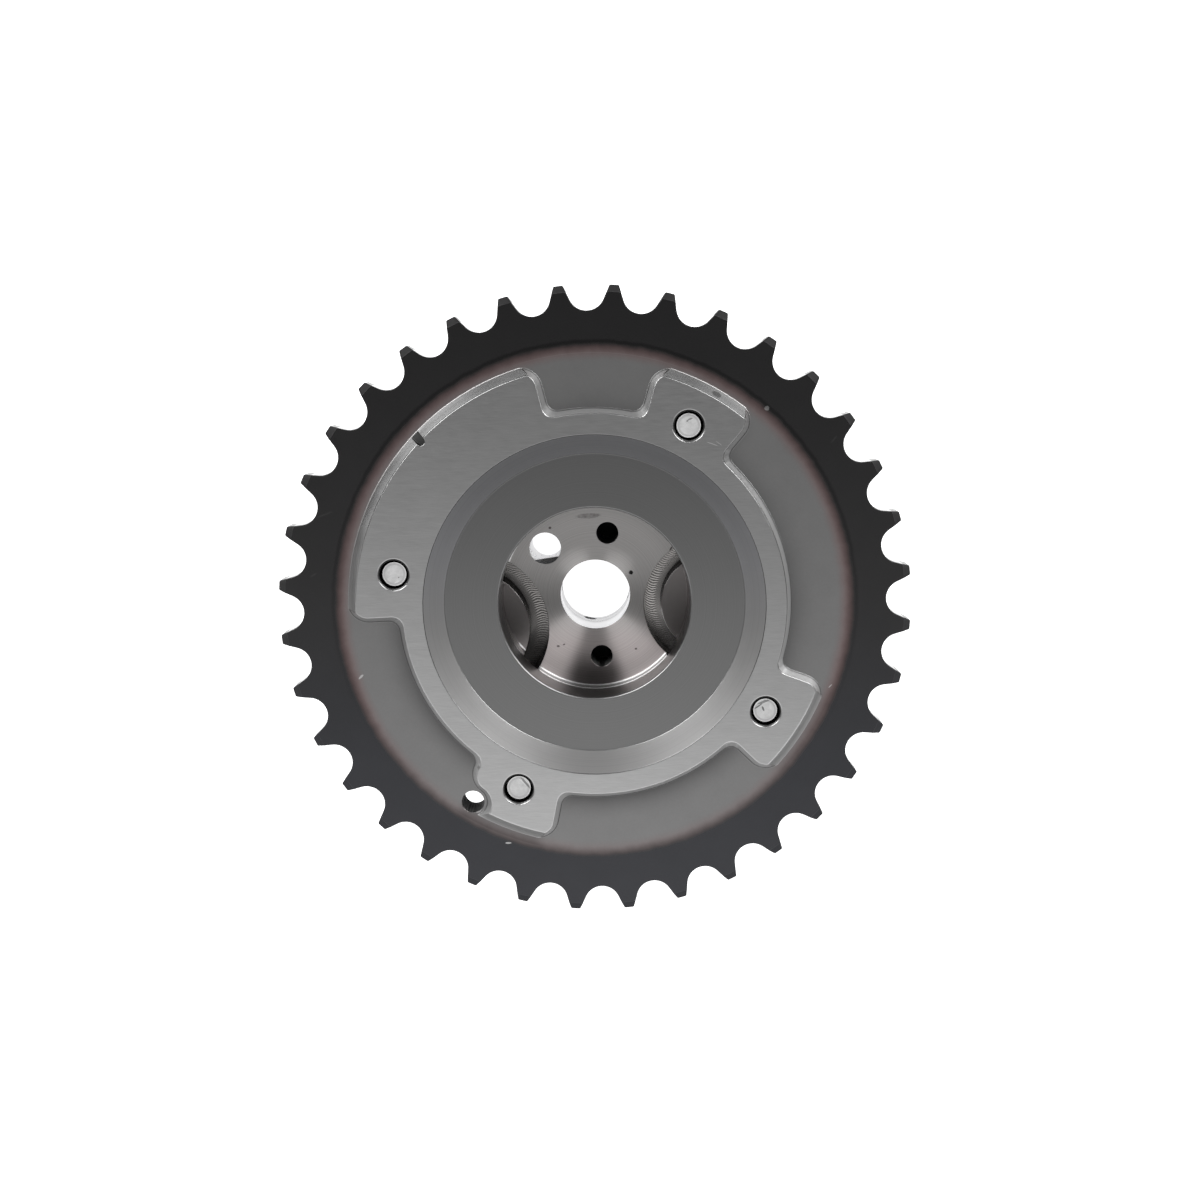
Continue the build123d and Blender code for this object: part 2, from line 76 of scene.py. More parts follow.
def top_of(node: str) -> float:
    """Highest level of a CAD node, in millimetres."""
    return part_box(node)[1].z / MM


def bottom_of(node: str) -> float:
    """Lowest level of a CAD node, in millimetres."""
    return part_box(node)[0].z / MM


def middle_of(node: str) -> Vector:
    """Middle of a CAD node's box, in millimetres."""
    low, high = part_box(node)
    return (low + high) / 2 / MM


def mount(name: str) -> dict:
    """The record's mount of that name."""
    return next(m for m in frame["record"]["mounts"] if m["name"] == name)


def numbered(name: str) -> tuple[str, ...]:
    """Names of the four pieces of a set."""
    return tuple(f"{name}_{number}" for number in range(1, 5))


BOLTS = numbered("cover_bolt")


@dataclass(frozen=True)
class Levels:
    """Heights along the axis and radii about it that the finishes follow."""

    lobe_face: float = top_of("sprocket")
    lobe_height: float = 1.6
    dish_depth: float = 3.5
    rotor_rim: float = top_of("rotor")
    seat: float = mount("cam_seat")["pos_m"][2] / MM
    journal_radius: float = mount("cam_journal_bore")["dims"]["r_mm"]
    lobe_edge_radius: float = 41.95
    dish_floor_radius: float = 26.7
    teeth_radius: float = 45.4

    @property
    def tooth_face(self) -> float:
        """Level of the flat side of the teeth and the plate."""
        return self.lobe_face - self.lobe_height

    @property
    def bevel_sum(self) -> float:
        """Sum of radius and height all over the lobes' bevel, which is turned at 45 degrees."""
        return self.lobe_edge_radius + self.lobe_face

    @property
    def dish_floor(self) -> float:
        """Level of the floor of the dish."""
        return self.lobe_face - self.dish_depth

    @property
    def dish_edge_radius(self) -> float:
        """Outer radius of the dish, whose side is turned at 45 degrees."""
        return self.dish_floor_radius + self.dish_depth


LEVELS = Levels()


class Body(Enum):
    """Bodies of the record, which move as one."""

    HOUSING = "housing"
    ROTOR = "phase_rotor"


class Slot(Enum):
    """Material slots of the record."""

    SPROCKET = "sprocket_steel"
    ROTOR = "rotor_steel"
    ALLOY = "housing_alloy"
    COVER = "cover_steel"
    SPRING = "spring_steel"
    BOLT = "bolt_steel"


# Node trees


class Graph:
    """Adds nodes to a node tree and joins them."""

    def __init__(self, tree: bpy.types.NodeTree) -> None:
        """Takes the tree that the nodes go into."""
        self.tree = tree

    def node(self, kind: str, **settings: object) -> bpy.types.Node:
        """Adds a node.

        Args:
            kind: the node's type name.
            settings: properties to set on it.

        Returns:
            The new node.
        """
        made = self.tree.nodes.new(kind)
        for name, value in settings.items():
            setattr(made, name, value)
        return made

    def feed(self, socket: Socket, value: Value) -> None:
        """Joins a socket to an output, or sets it.

        Args:
            socket: the input.
            value: an output socket, a number, or a colour or vector.
        """
        if isinstance(value, bpy.types.NodeSocket):
            self.tree.links.new(value, socket)
        elif isinstance(value, tuple) and len(value) == 3 and socket.type == "RGBA":
            socket.default_value = (*value, 1.0)
        else:
            socket.default_value = value

    def step(self, kind: str, output: int | str, values: dict, **settings: object) -> Socket:
        """Adds a node and feeds it.

        Args:
            kind: the node's type name.
            output: name or number of the output that is wanted.
            values: what its inputs get, by name or number.
            settings: properties to set on it.

        Returns:
            The output.
        """
        made = self.node(kind, **settings)
        for key, value in values.items():
            self.feed(made.inputs[key], value)
        return made.outputs[output]

    def math(self, operation: str, *values: Value, clamp: bool = False) -> Socket:
        """One step of arithmetic, whose result is kept from 0 to 1 where clamp is set."""
        return self.step("ShaderNodeMath", 0, dict(enumerate(values)), operation=operation, use_clamp=clamp)

    def times(self, *values: Value) -> Socket:
        """Product of the values."""
        return reduce(lambda made, value: self.math("MULTIPLY", made, value), values)

    def linear(self, value: Value, slope: Value, start: Value, clamp: bool = False) -> Socket:
        """A value times a slope, plus a start, kept from 0 to 1 where clamp is set."""
        return self.math("MULTIPLY_ADD", value, slope, start, clamp=clamp)

    def contrast(self, value: Value, strength: float) -> Socket:
        """A value about 0.5 that is spread about it and kept from 0 to 1."""
        return self.linear(self.math("SUBTRACT", value, 0.5), strength, 0.5, clamp=True)

    def vector(self, operation: str, *values: Value) -> Socket:
        """One step of vector arithmetic that gives a vector."""
        keys = (0, 3) if operation == "SCALE" else (0, 1)
        return self.step("ShaderNodeVectorMath", "Vector", dict(zip(keys, values)), operation=operation)

    def length(self, vector: Value) -> Socket:
        """Length of a vector."""
        return self.step("ShaderNodeVectorMath", "Value", {0: vector}, operation="LENGTH")

    def dot(self, first: Value, second: Value) -> Socket:
        """Dot product of two vectors."""
        return self.step("ShaderNodeVectorMath", "Value", {0: first, 1: second}, operation="DOT_PRODUCT")

    def parts(self, vector: Value) -> tuple[Socket, ...]:
        """X, Y and Z of a vector."""
        return tuple(self.step("ShaderNodeSeparateXYZ", 0, {0: vector}).node.outputs)

    def joined(self, *parts: Value) -> Socket:
        """Vector from its X, Y and Z."""
        return self.step("ShaderNodeCombineXYZ", 0, dict(enumerate(parts)))

    def turned_back(self, vector: Value, turn: Value) -> Socket:
        """A vector turned back about Z by an angle in degrees."""
        values = {"Vector": vector, "Angle": self.math("RADIANS", self.times(turn, -1.0))}
        return self.step("ShaderNodeVectorRotate", 0, values, rotation_type="Z_AXIS")

    def window(self, value: Value, start: float, end: float) -> Socket:
        """Smooth step from 0 at start to 1 at end, which may be the lower of the two."""
        limits = {"From Min": start, "From Max": end, "Value": value}
        return self.step("ShaderNodeMapRange", "Result", limits, interpolation_type="SMOOTHSTEP")

    def band(self, value: Value, low: float, high: float, soft: float) -> Socket:
        """Share that is 1 between two limits and falls away over a soft width about each."""
        rise = self.window(value, low - soft / 2, low + soft / 2)
        return self.times(rise, self.window(value, high + soft / 2, high - soft / 2))

    def between(self, share: Value, first: Value, second: Value) -> Socket:
        """Number that turns from the first to the second with the share."""
        return self.step("ShaderNodeMix", 0, {0: share, 2: first, 3: second}, data_type="FLOAT")

    def factor(self, share: Value, inside: Value) -> Socket:
        """Factor that is 1 outside a share and another number inside it."""
        return self.between(share, 1.0, inside)

    def mix(self, share: Value, first: Value, second: Value, blend: str = "MIX") -> Socket:
        """Colour that turns from the first to the second with the share."""
        colours = {0: share, 6: first, 7: second}
        return self.step("ShaderNodeMix", 2, colours, data_type="RGBA", blend_type=blend)

    def paint(self, colour: Value, over: Value, *shares: Value) -> Socket:
        """A colour with another over it, as far as all the shares let it."""
        return self.mix(self.times(*shares), colour, over)

    def shaded(self, colour: Value, *factors: Value) -> Socket:
        """A colour made lighter or darker by factors."""
        return self.vector("SCALE", colour, self.times(*factors))

    def noise(self, place: Value, scale: float, detail: float = 2.0, rough: float = 0.5) -> Socket:
        """Noise about 0.5, with a number of features in one unit of place and finer layers."""
        values = {"Scale": scale, "Detail": detail, "Roughness": rough, "Vector": place}
        return self.step("ShaderNodeTexNoise", "Fac", values)

    def bump(self, height: Value, distance: float) -> Socket:
        """Normal bent by a relief of 0 to 1 that stands a distance high, in millimetres."""
        return self.step("ShaderNodeBump", "Normal", {"Distance": distance * MM, "Height": height})


@dataclass(frozen=True)
class Effect:
    """A pattern that several materials share, kept as one node group.

    An input is a number where its default is one, and a vector otherwise. The drawing function
    gets a graph and the inputs in order, and gives the outputs in order.
    """

    name: str
    inputs: dict[str, float | tuple[float, float, float] | None]
    outputs: tuple[str, ...]
    draw: Callable[..., tuple[Socket, ...]]

    def tree(self) -> bpy.types.NodeTree:
        """The group, made the first time that it is asked for.

        Returns:
            Its node tree.
        """
        if self.name in bpy.data.node_groups:
            return bpy.data.node_groups[self.name]
        tree = bpy.data.node_groups.new(self.name, "ShaderNodeTree")
        for name, default in self.inputs.items():
            kind = FLOAT if isinstance(default, float) else VECTOR
            socket = tree.interface.new_socket(name, in_out="INPUT", socket_type=kind)
            if default is not None:
                socket.default_value = default
        graph = Graph(tree)
        given = graph.node("NodeGroupInput").outputs
        drawn = self.draw(graph, *(given[name] for name in self.inputs))
        for name, output in zip(self.outputs, drawn):
            kind = VECTOR if output.type == "VECTOR" else FLOAT
            tree.interface.new_socket(name, in_out="OUTPUT", socket_type=kind)
        result = graph.node("NodeGroupOutput")
        for name, output in zip(self.outputs, drawn):
            graph.feed(result.inputs[name], output)
        return tree

    def place(self, graph: Graph, **values: Value) -> tuple[Socket, ...]:
        """Puts the group into a material or another group.

        Args:
            graph: where it goes.
            values: inputs by their names, in small letters.

        Returns:
            The group's outputs.
        """
        made = graph.node("ShaderNodeGroup", node_tree=self.tree())
        for name, value in values.items():
            graph.feed(made.inputs[name.capitalize()], value)
        return tuple(made.outputs)


FLOAT = "NodeSocketFloat"
VECTOR = "NodeSocketVector"


def draw_place(graph: Graph, position: Socket) -> tuple[Socket, ...]:
    """Draws a position as millimetres, its Y, a radius, a turn about the axis and a height.

    Args:
        graph: the group's graph.
        position: in metres.

    Returns:
        The five outputs.
    """
    millimetres = graph.vector("SCALE", position, 1 / MM)
    x, y, z = graph.parts(millimetres)
    turn = graph.math("DEGREES", graph.math("ARCTAN2", y, x))
    return millimetres, y, graph.length(graph.joined(x, y)), turn, z


def draw_lines(graph: Graph, place: Socket, pitch: Socket, length: Socket, turn: Socket) -> tuple[Socket]:
    """Draws straight machining lines, broken off here and there.

    Args:
        graph: the group's graph.
        place: position in millimetres.
        pitch: how far the lines are apart.
        length: how long they are.
        turn: their direction, in degrees.

    Returns:
        The lines, from 0 to 1.
    """
    along, across = graph.math("DIVIDE", 1.0, length), graph.math("DIVIDE", 1.0, pitch)
    stretch = graph.joined(along, across, across)
    stretched = graph.vector("MULTIPLY", graph.turned_back(place, turn), stretch)
    fine = graph.noise(stretched, 1.0, detail=3.0, rough=0.7)
    wide = graph.noise(stretched, 0.23, detail=2.0)
    both = graph.math("ADD", graph.times(fine, 0.85), graph.times(wide, 0.15))
    return (graph.contrast(both, 1.6),)


def draw_rings(graph: Graph, place: Socket, radius: Socket, pitch: Socket, waver: Socket) -> tuple[Socket]:
    """Draws turned rings, each a little different from the next.

    Args:
        graph: the group's graph.
        place: position in millimetres.
        radius: what the rings follow, such as the radius.
        pitch: how far they are apart.
        waver: how much they wander.

    Returns:
        The rings, from 0 to 1.
    """
    wander = graph.times(graph.noise(place, 0.08, detail=1.0), waver)
    ring = graph.math("ADD", graph.math("DIVIDE", radius, pitch), wander)
    values = {"Scale": 1.0, "Detail": 3.0, "W": ring}
    noise = graph.step("ShaderNodeTexNoise", "Fac", values, noise_dimensions="1D")
    return (graph.contrast(noise, 2.0),)


def draw_mottle(graph: Graph, place: Socket, size: Socket, strength: Socket) -> tuple[Socket]:
    """Draws the cloudy unevenness of sintered and oiled steel.

    Args:
        graph: the group's graph.
        place: position in millimetres.
        size: of the clouds.
        strength: how much they differ.

    Returns:
        A factor about 1.
    """
    scaled = graph.vector("SCALE", place, graph.math("DIVIDE", 1.0, size))
    cloud = graph.noise(scaled, 1.0, detail=3.0)
    grain = graph.noise(scaled, 14.0, detail=2.0, rough=0.6)
    both = graph.math("ADD", graph.times(cloud, 0.6), graph.times(grain, 0.4))
    swing = graph.times(graph.math("SUBTRACT", both, 0.5), strength)
    return (graph.math("ADD", swing, 1.0),)


def draw_pits(graph: Graph, place: Socket, spacing: Socket, size: Socket, share: Socket) -> tuple[Socket]:
    """Draws scattered small pits.

    Args:
        graph: the group's graph.
        place: position in millimetres.
        spacing: how far the pits are apart.
        size: of the largest.
        share: how many of them there are.

    Returns:
        Where they are.
    """
    scale = graph.math("DIVIDE", 1.0, spacing)
    chance = graph.step("ShaderNodeTexVoronoi", "Color", {"Vector": place, "Scale": scale}, feature="F1")
    largest, luck, _ = graph.parts(chance)
    distance = chance.node.outputs["Distance"]
    far = graph.math("DIVIDE", distance, graph.times(size, largest))
    near = graph.math("SUBTRACT", 1.0, far, clamp=True)
    return (graph.times(near, graph.math("GREATER_THAN", share, luck)),)


def draw_spot(graph: Graph, place: Socket, centre: Socket, reach: Socket, turn: Socket) -> tuple[Socket]:
    """Draws one oval spot with soft, slightly ragged edges.

    Args:
        graph: the group's graph.
        place: position in millimetres.
        centre: of the spot.
        reach: its three half sizes.
        turn: its direction, in degrees.

    Returns:
        Where it is.
    """
    offset = graph.turned_back(graph.vector("SUBTRACT", place, centre), turn)
    away = graph.length(graph.vector("DIVIDE", offset, reach))
    ragged = graph.times(graph.math("SUBTRACT", graph.noise(place, 3.0), 0.5), 0.6)
    return (graph.window(graph.math("ADD", away, ragged), 1.15, 0.75),)


def draw_centred(graph: Graph, place: Socket, centre: Socket, turn: Socket) -> tuple[Socket, Socket]:
    """Draws the distance from an upright line through a centre, and the way along an arc about it.

    Args:
        graph: the group's graph.
        place: position in millimetres.
        centre: of the arc.
        turn: the direction in which the way along begins, in degrees.

    Returns:
        The distance and the way along.
    """
    x, y, _ = graph.parts(graph.turned_back(graph.vector("SUBTRACT", place, centre), turn))
    radius = graph.length(graph.joined(x, y))
    return radius, graph.times(graph.math("ARCTAN2", y, x), radius)


def draw_chatter(
    graph: Graph, place: Socket, centre: Socket, turn: Socket, middle: Socket, pitch: Socket
) -> tuple[Socket, Socket]:
    """Draws the bowed strokes that a milling cutter leaves along an arc about a centre.

    Args:
        graph: the group's graph.
        place: position in millimetres.
        centre: of the arc.
        turn: the direction in which the way along begins, in degrees.
        middle: radius of the cutter's way.
        pitch: how far the strokes are apart.

    Returns:
        The strokes, from 0 to 1, and the distance from the centre.
    """
    radius, along = CENTRED.place(graph, place=place, centre=centre, turn=turn)
    aside = graph.math("SUBTRACT", radius, middle)
    bow = graph.times(aside, aside, 0.25)
    stroke = graph.math("DIVIDE", graph.math("ADD", along, bow), pitch)
    phase = graph.linear(graph.noise(place, 0.7, detail=2.0), 1.4, stroke)
    wave = graph.math("SINE", graph.times(phase, 2 * math.pi))
    return graph.linear(wave, 0.5, 0.5), radius


PLACE_OUTPUTS = ("Millimetres", "Across", "Radius", "Turn", "Height")
LINE_INPUTS = {"Place": None, "Pitch": 0.2, "Length": 10.0, "Turn": 0.0}
RING_INPUTS = {"Place": None, "Radius": 0.0, "Pitch": 0.2, "Waver": 0.5}
MOTTLE_INPUTS = {"Place": None, "Size": 4.0, "Strength": 0.3}
PIT_INPUTS = {"Place": None, "Spacing": 2.0, "Size": 0.2, "Share": 0.3}
SPOT_INPUTS = {"Place": None, "Centre": None, "Reach": (1.0, 1.0, 1.0), "Turn": 0.0}
CENTRE_INPUTS = {"Place": None, "Centre": None, "Turn": 0.0}
CHATTER_INPUTS = {**CENTRE_INPUTS, "Middle": 10.0, "Pitch": 0.4}

PLACE = Effect("place_on_axis", {"Position": None}, PLACE_OUTPUTS, draw_place)
LINES = Effect("machining_lines", LINE_INPUTS, ("Lines",), draw_lines)
RINGS = Effect("turned_rings", RING_INPUTS, ("Rings",), draw_rings)
MOTTLE = Effect("mottled_metal", MOTTLE_INPUTS, ("Factor",), draw_mottle)
PITS = Effect("small_pits", PIT_INPUTS, ("Mask",), draw_pits)
SPOT = Effect("oval_spot", SPOT_INPUTS, ("Mask",), draw_spot)
CENTRED = Effect("about_a_centre", CENTRE_INPUTS, ("Radius", "Along"), draw_centred)
CHATTER = Effect("milling_chatter", CHATTER_INPUTS, ("Ripple", "Across"), draw_chatter)


def polar(radius: float, angle: float, level: float = 0.0) -> tuple[float, float, float]:
    """Point at a radius and an angle about the axis, at a level, in millimetres."""
    turn = math.radians(angle)
    return (radius * math.cos(turn), radius * math.sin(turn), level)


def grey(value: float) -> Colour:
    """A colour without hue."""
    return (value, value, value)


# SHADOW is the black of painted shadow in holes, ports and along edges; it also colours a dark mark on a
# lobe's bevel and the punch mark on the seat.
SHADOW = grey(0.02)
BRIGHT = grey(0.75)
SPRING_COLOUR = (0.5, 0.49, 0.47)
MARK_DEPTH = 0.5
ENDLESS = 1000.0


@dataclass(frozen=True)
class Groove:
    """An arc groove: its centre's distance from the axis and angle, its two radii, and its light.

    The tone is how light it is, and the light falls off below the height lit in the photograph.
    """

    distance: float
    angle: float
    inner: float
    outer: float
    tone: float
    lit_above: float

    def centre(self) -> tuple[float, float, float]:
        """Centre of the arc, in millimetres."""
        return polar(self.distance, self.angle)


@dataclass(frozen=True)
class Mark:
    """A small mark on a face: its radius from the axis, angle, half length, half width and slant."""

    radius: float
    angle: float
    length: float
    width: float
    slant: float = 0.0

    def centre(self, level: float) -> tuple[float, float, float]:
        """Middle of the mark at a level, in millimetres."""
        return polar(self.radius, self.angle, level)


# Finishes


class Shading:
    """A new material with its Principled shader and its place on the axis."""

    def __init__(self, name: str, metallic: float, roughness: float) -> None:
        """Makes the material.

        Args:
            name: of the material.
            metallic: how metallic the plain surface is.
            roughness: of the plain surface.
        """
        self.material = bpy.data.materials.new(name)
        self.material.use_nodes = True
        tree = self.material.node_tree
        tree.nodes.clear()
        self.graph = Graph(tree)
        self.shader = self.graph.node("ShaderNodeBsdfPrincipled")
        output = self.graph.node("ShaderNodeOutputMaterial")
        self.graph.feed(output.inputs["Surface"], self.shader.outputs["BSDF"])
        self.set("Metallic", metallic)
        self.set("Roughness", roughness)
        position = self.graph.node("ShaderNodeTexCoord").outputs["Object"]
        placed = PLACE.place(self.graph, position=position)
        self.place, self.across, self.radius, self.turn, self.height = placed

    def set(self, name: str, value: Value) -> None:
        """Sets or joins one of the shader's sockets."""
        self.graph.feed(self.shader.inputs[name], value)

    def effect(self, effect: Effect, **values: Value) -> tuple[Socket, ...]:
        """Outputs of an effect that is placed on this material."""
        return effect.place(self.graph, place=self.place, **values)

    def mottle(self, size: float, strength: float) -> Socket:
        """Cloudy unevenness as a factor about 1."""
        return self.effect(MOTTLE, size=size, strength=strength)[0]

    def rings(self, along: Value, pitch: float, waver: float) -> Socket:
        """Turned rings that follow one another along a way, such as the radius."""
        return self.effect(RINGS, radius=along, pitch=pitch, waver=waver)[0]

    def away(self, x: float, y: float) -> Socket:
        """Distance from an upright line through a place."""
        return self.effect(CENTRED, centre=(x, y, 0.0))[0]

    def beneath(self, level: float, soft: float) -> Socket:
        """Share that grows below a level, over a soft height."""
        return self.graph.window(self.height, level, level - soft)

    def mark(self, mark: Mark, level: float | None = None) -> Socket:
        """Where a mark is: on the face at that level, or at every height."""
        reach = (mark.length, mark.width, ENDLESS if level is None else MARK_DEPTH)
        return self.effect(SPOT, centre=mark.centre(level or 0.0), reach=reach, turn=mark.slant)[0]


@dataclass(frozen=True)
class Wear:
    """Marks of one kind, on the face at one level or at every height."""

    marks: tuple[Mark, ...]
    colour: Colour
    strength: float = 1.0
    level: float | None = None

    def over(self, s: Shading, colour: Socket) -> Socket:
        """Adds the marks to a surface.

        Args:
            s: the material's shading.
            colour: of the surface without them.

        Returns:
            The colour with them.
        """
        for mark in self.marks:
            colour = s.graph.paint(colour, self.colour, s.mark(mark, self.level), self.strength)
        return colour


@dataclass(frozen=True)
class SprocketFinish:
    """Sintered sprocket: ground lobes, turned dish, blackened teeth with a heat tint inside them.

    A sector is given by its first and last angle. Of each sector of painted shade on the plate, the
    third number is how much darker it is. A pair of roughnesses is for the two ends or parts of a
    place: the bevel from top to bottom, the dish's floor and side, the plain teeth and their tips.
    Much of the light and shade on the lobes, their edges, the dish and the holes is painted into
    the colour.
    """

    lobe: Colour = grey(0.5)
    bevel: Colour = grey(0.42)
    wall: Colour = grey(0.6)
    # Painted highlight along the lobes' rounded edges.
    edge_line: Colour = grey(0.7)
    plate: Colour = (0.27, 0.268, 0.268)
    dish: Colour = grey(0.25)
    cone: Colour = (0.322, 0.322, 0.334)
    lower_cone: Colour = (0.328, 0.325, 0.324)
    # Painted shade on the lobes' rounded edge around the dish.
    inner_edge: Colour = grey(0.05)
    rim: Colour = grey(0.24)
    teeth: Colour = (0.066, 0.067, 0.073)
    upper_teeth: Colour = (0.067, 0.066, 0.067)
    flank: Colour = grey(0.32)
    tint: Colour = (1.0, 0.75, 0.74)
    # Painted shade on the walls of the notch and the tool hole.
    hole_shade: Colour = grey(0.09)
    tip_start: float = 54.6
    flank_depth: float = 0.55
    ring_foot: float = 34.9
    bolt_hole_radius: float = 2.66
    tool_hole_radius: float = 2.1
    tool_hole_place: tuple[float, float] = (41.9, 238.5)
    notch: Mark = Mark(42.3, 136.1, 2.1, 1.2, 136.1)
    # Painted shade on the plate beyond the lobes, by sector.
    shaded_sectors: tuple[tuple[float, float, float], ...] = ((-123.0, -103.0, 0.27), (-42.0, -22.0, 0.12))
    faint_arc_radii: tuple[float, float] = (44.2, 44.3)
    faint_arc_sector: tuple[float, float] = (66.0, 108.0)
    # Sector where the lobes' walls get painted light.
    painted_light_wall_sector: tuple[float, float] = (-22.0, 38.0)
    # Sector where the painted highlight along the lobes' edges is halved.
    plain_edge_sector: tuple[float, float] = (-24.0, 51.0)
    # Way along which the lobes' faces get painted shade.
    painted_shade_way: tuple[float, float, float] = (0.33, 0.94, 0.0)
    plate_roughness: float = 0.33
    wall_roughness: float = 0.55
    bevel_roughness: tuple[float, float] = (0.24, 0.55)
    dish_roughness: tuple[float, float] = (0.3, 0.45)
    teeth_roughness: tuple[float, float] = (0.26, 0.6)
    hole_roughness: float = 0.85
    relief: float = 0.0015
    wear: tuple[Wear, ...] = (
        Wear(
            (
                Mark(46.1, -109.8, 0.55, 0.16, 0.0),
                Mark(43.5, -162.8, 0.6, 0.2, 45.0),
                Mark(44.3, -19.1, 0.45, 0.08, 46.0),
            ),
            BRIGHT,
            strength=0.7,
            level=LEVELS.tooth_face,
        ),
        Wear(
            (Mark(35.15, 54.3, 1.1, 0.07, -19.0), Mark(35.9, 53.0, 0.7, 0.05, -35.0)),
            BRIGHT,
            level=LEVELS.lobe_face,
        ),
        Wear(
            (
                Mark(50.0, 161.2, 1.6, 0.1, 21.0),
                Mark(49.9, 173.8, 0.7, 0.1, 30.0),
                Mark(52.3, 32.6, 1.3, 0.1, 60.0),
                Mark(50.9, 35.0, 0.8, 0.12, 50.0),
            ),
            BRIGHT,
            strength=0.05,
            level=LEVELS.tooth_face,
        ),
        Wear((Mark(42.7, 60.2, 0.9, 0.45, -30.0),), SHADOW, strength=0.55),
        Wear((Mark(45.8, 49.1, 0.42, 0.42),), BRIGHT, strength=0.4, level=LEVELS.tooth_face),
    )

    def on_turned_bevel(self, s: Shading) -> Socket:
        """Share of the lobes' turned bevel, where radius and height add up to the same everywhere."""
        along = s.graph.math("ADD", s.radius, s.height)
        return s.graph.band(along, LEVELS.bevel_sum - 0.12, LEVELS.bevel_sum + 0.12, 0.06)

    def in_dish(self, s: Shading) -> Socket:
        """Share of the dish, its sloping side included."""
        inside = s.graph.window(s.radius, LEVELS.dish_edge_radius + 0.05, LEVELS.dish_edge_radius - 0.05)
        return s.graph.times(inside, s.beneath(LEVELS.lobe_face - 0.02, 0.1))

    def on_cone(self, s: Shading) -> Socket:
        """Share of the dish's sloping side."""
        return s.graph.window(s.height, LEVELS.dish_floor + 0.05, LEVELS.dish_floor + 0.15)

    def on_tips(self, s: Shading) -> Socket:
        """Share of the ends of the teeth."""
        return s.graph.window(s.radius, self.tip_start, self.tip_start + 0.2)

    def plate_colour(self, s: Shading, reach: Socket, mottle: Socket) -> Socket:
        """Colour of the plate, with painted shade at the ring's foot and in sectors beyond the lobes, and a
        heat tint that darkens it towards the teeth.

        Args:
            s: the material's shading.
            reach: the radius, made a little uneven.
            mottle: the steel's unevenness.

        Returns:
            The colour.
        """
        g = s.graph
        edge, rim = LEVELS.teeth_radius, LEVELS.lobe_edge_radius
        fade = g.factor(g.window(reach, edge - 1.6, edge + 0.3), 0.4)
        # Painted shade on the plate at the ring's foot, deeper towards the bottom, and in the sectors beyond
        # the lobes.
        closeness = g.linear(s.radius, -0.19, self.ring_foot * 0.19 + 1.0, clamp=True)
        depth = g.between(g.window(s.across, -45.0, 30.0), 0.52, 0.22)
        shade = g.linear(g.times(g.math("POWER", closeness, 2.2), depth), -1.0, 1.0)
        beyond_lobe = g.band(s.radius, rim + 1.4, rim + 3.0, 0.3)
        for start, end, darker in self.shaded_sectors:
            outside = g.times(beyond_lobe, g.band(s.turn, start, end, 4.0))
            shade = g.times(shade, g.factor(outside, 1.0 - darker))
        plate = g.shaded(self.plate, mottle, fade, shade)
        warmth = g.times(
            g.window(reach, edge - 2.8, edge - 0.4),
            g.window(reach, edge + 1.05, edge + 0.4),
            g.between(g.window(s.across, -38.0, -10.0), 0.5, 1.0),
        )
        warm = g.mix(warmth, plate, self.tint, "MULTIPLY")
        on_arc = g.band(s.radius, *self.faint_arc_radii, 0.1)
        return g.paint(warm, BRIGHT, on_arc, g.band(s.turn, *self.faint_arc_sector, 16.0), 0.07)

    def teeth_colour(self, s: Shading, reach: Socket, mottle: Socket) -> Socket:
        """Colour of the blackened teeth, darkest where the black begins and more so towards the top, with
        painted shade on their tips that is deeper towards the top.

        Args:
            s: the material's shading.
            reach: the radius, made a little uneven.
            mottle: the steel's unevenness.

        Returns:
            The colour.
        """
        g = s.graph
        edge = LEVELS.teeth_radius
        burnt = g.times(g.band(reach, edge + 0.5, edge + 1.1, 0.5), g.window(s.across, -35.0, 35.0))
        # Painted shade on the teeth's tips, deeper towards the top.
        painted_shading = g.factor(self.on_tips(s), g.between(g.window(s.across, -20.0, 45.0), 0.85, 0.45))
        teeth = g.mix(g.window(s.across, -30.0, 5.0), self.teeth, self.upper_teeth)
        return g.shaded(teeth, mottle, g.factor(burnt, 0.66), painted_shading)

    def lobe_sides(self, s: Shading) -> Socket:
        """Colour of the lobes' sloping walls and of the turned bevel on their outer sides, with painted
        light and shade on both.

        Args:
            s: the material's shading.

        Returns:
            The colour.
        """
        g = s.graph
        face, foot, rim = LEVELS.lobe_face, LEVELS.tooth_face, LEVELS.lobe_edge_radius
        # Painted shade at the walls' foot and towards the top, and painted light on the walls in one sector;
        # on the bevel, painted shade towards the top and at its upper part, and painted light at its foot.
        foot_shade = g.between(g.window(s.height, foot + 0.05, foot + 0.45), 0.3, 1.0)
        upper = g.factor(g.window(s.across, -24.0, -4.0), 0.72)
        painted_light_at_right = g.factor(g.band(s.turn, *self.painted_light_wall_sector, 14.0), 1.4)
        wall = g.shaded(self.wall, foot_shade, upper, painted_light_at_right)
        lower = g.between(g.window(s.across, -4.0, -18.0), 0.74, 1.0)
        bevel = g.shaded(self.bevel, lower, g.between(g.window(s.height, face - 0.7, foot + 0.25), 0.88, 1.2))
        beyond = g.times(g.window(s.radius, rim - 0.1, rim + 0.05), self.on_turned_bevel(s))
        return g.paint(wall, bevel, beyond, g.band(s.height, foot, face - 0.1, 0.1))

    def outer_line(self, s: Shading) -> Socket:
        """Colour of the painted highlight along the lobes' outer edges, dimmer towards the top, on the
        turned bevel and in one sector.

        Args:
            s: the material's shading.

        Returns:
            The colour.
        """
        g = s.graph
        rim = LEVELS.lobe_edge_radius
        at_bevel = g.times(g.window(s.across, 2.0, 22.0), g.window(s.radius, rim - 0.35, rim - 0.2))
        upper = g.factor(g.window(s.across, -25.0, 15.0), 0.45)
        line = g.shaded(self.edge_line, g.between(at_bevel, upper, 0.14))
        return g.shaded(line, g.factor(g.band(s.turn, *self.plain_edge_sector, 6.0), 0.5))

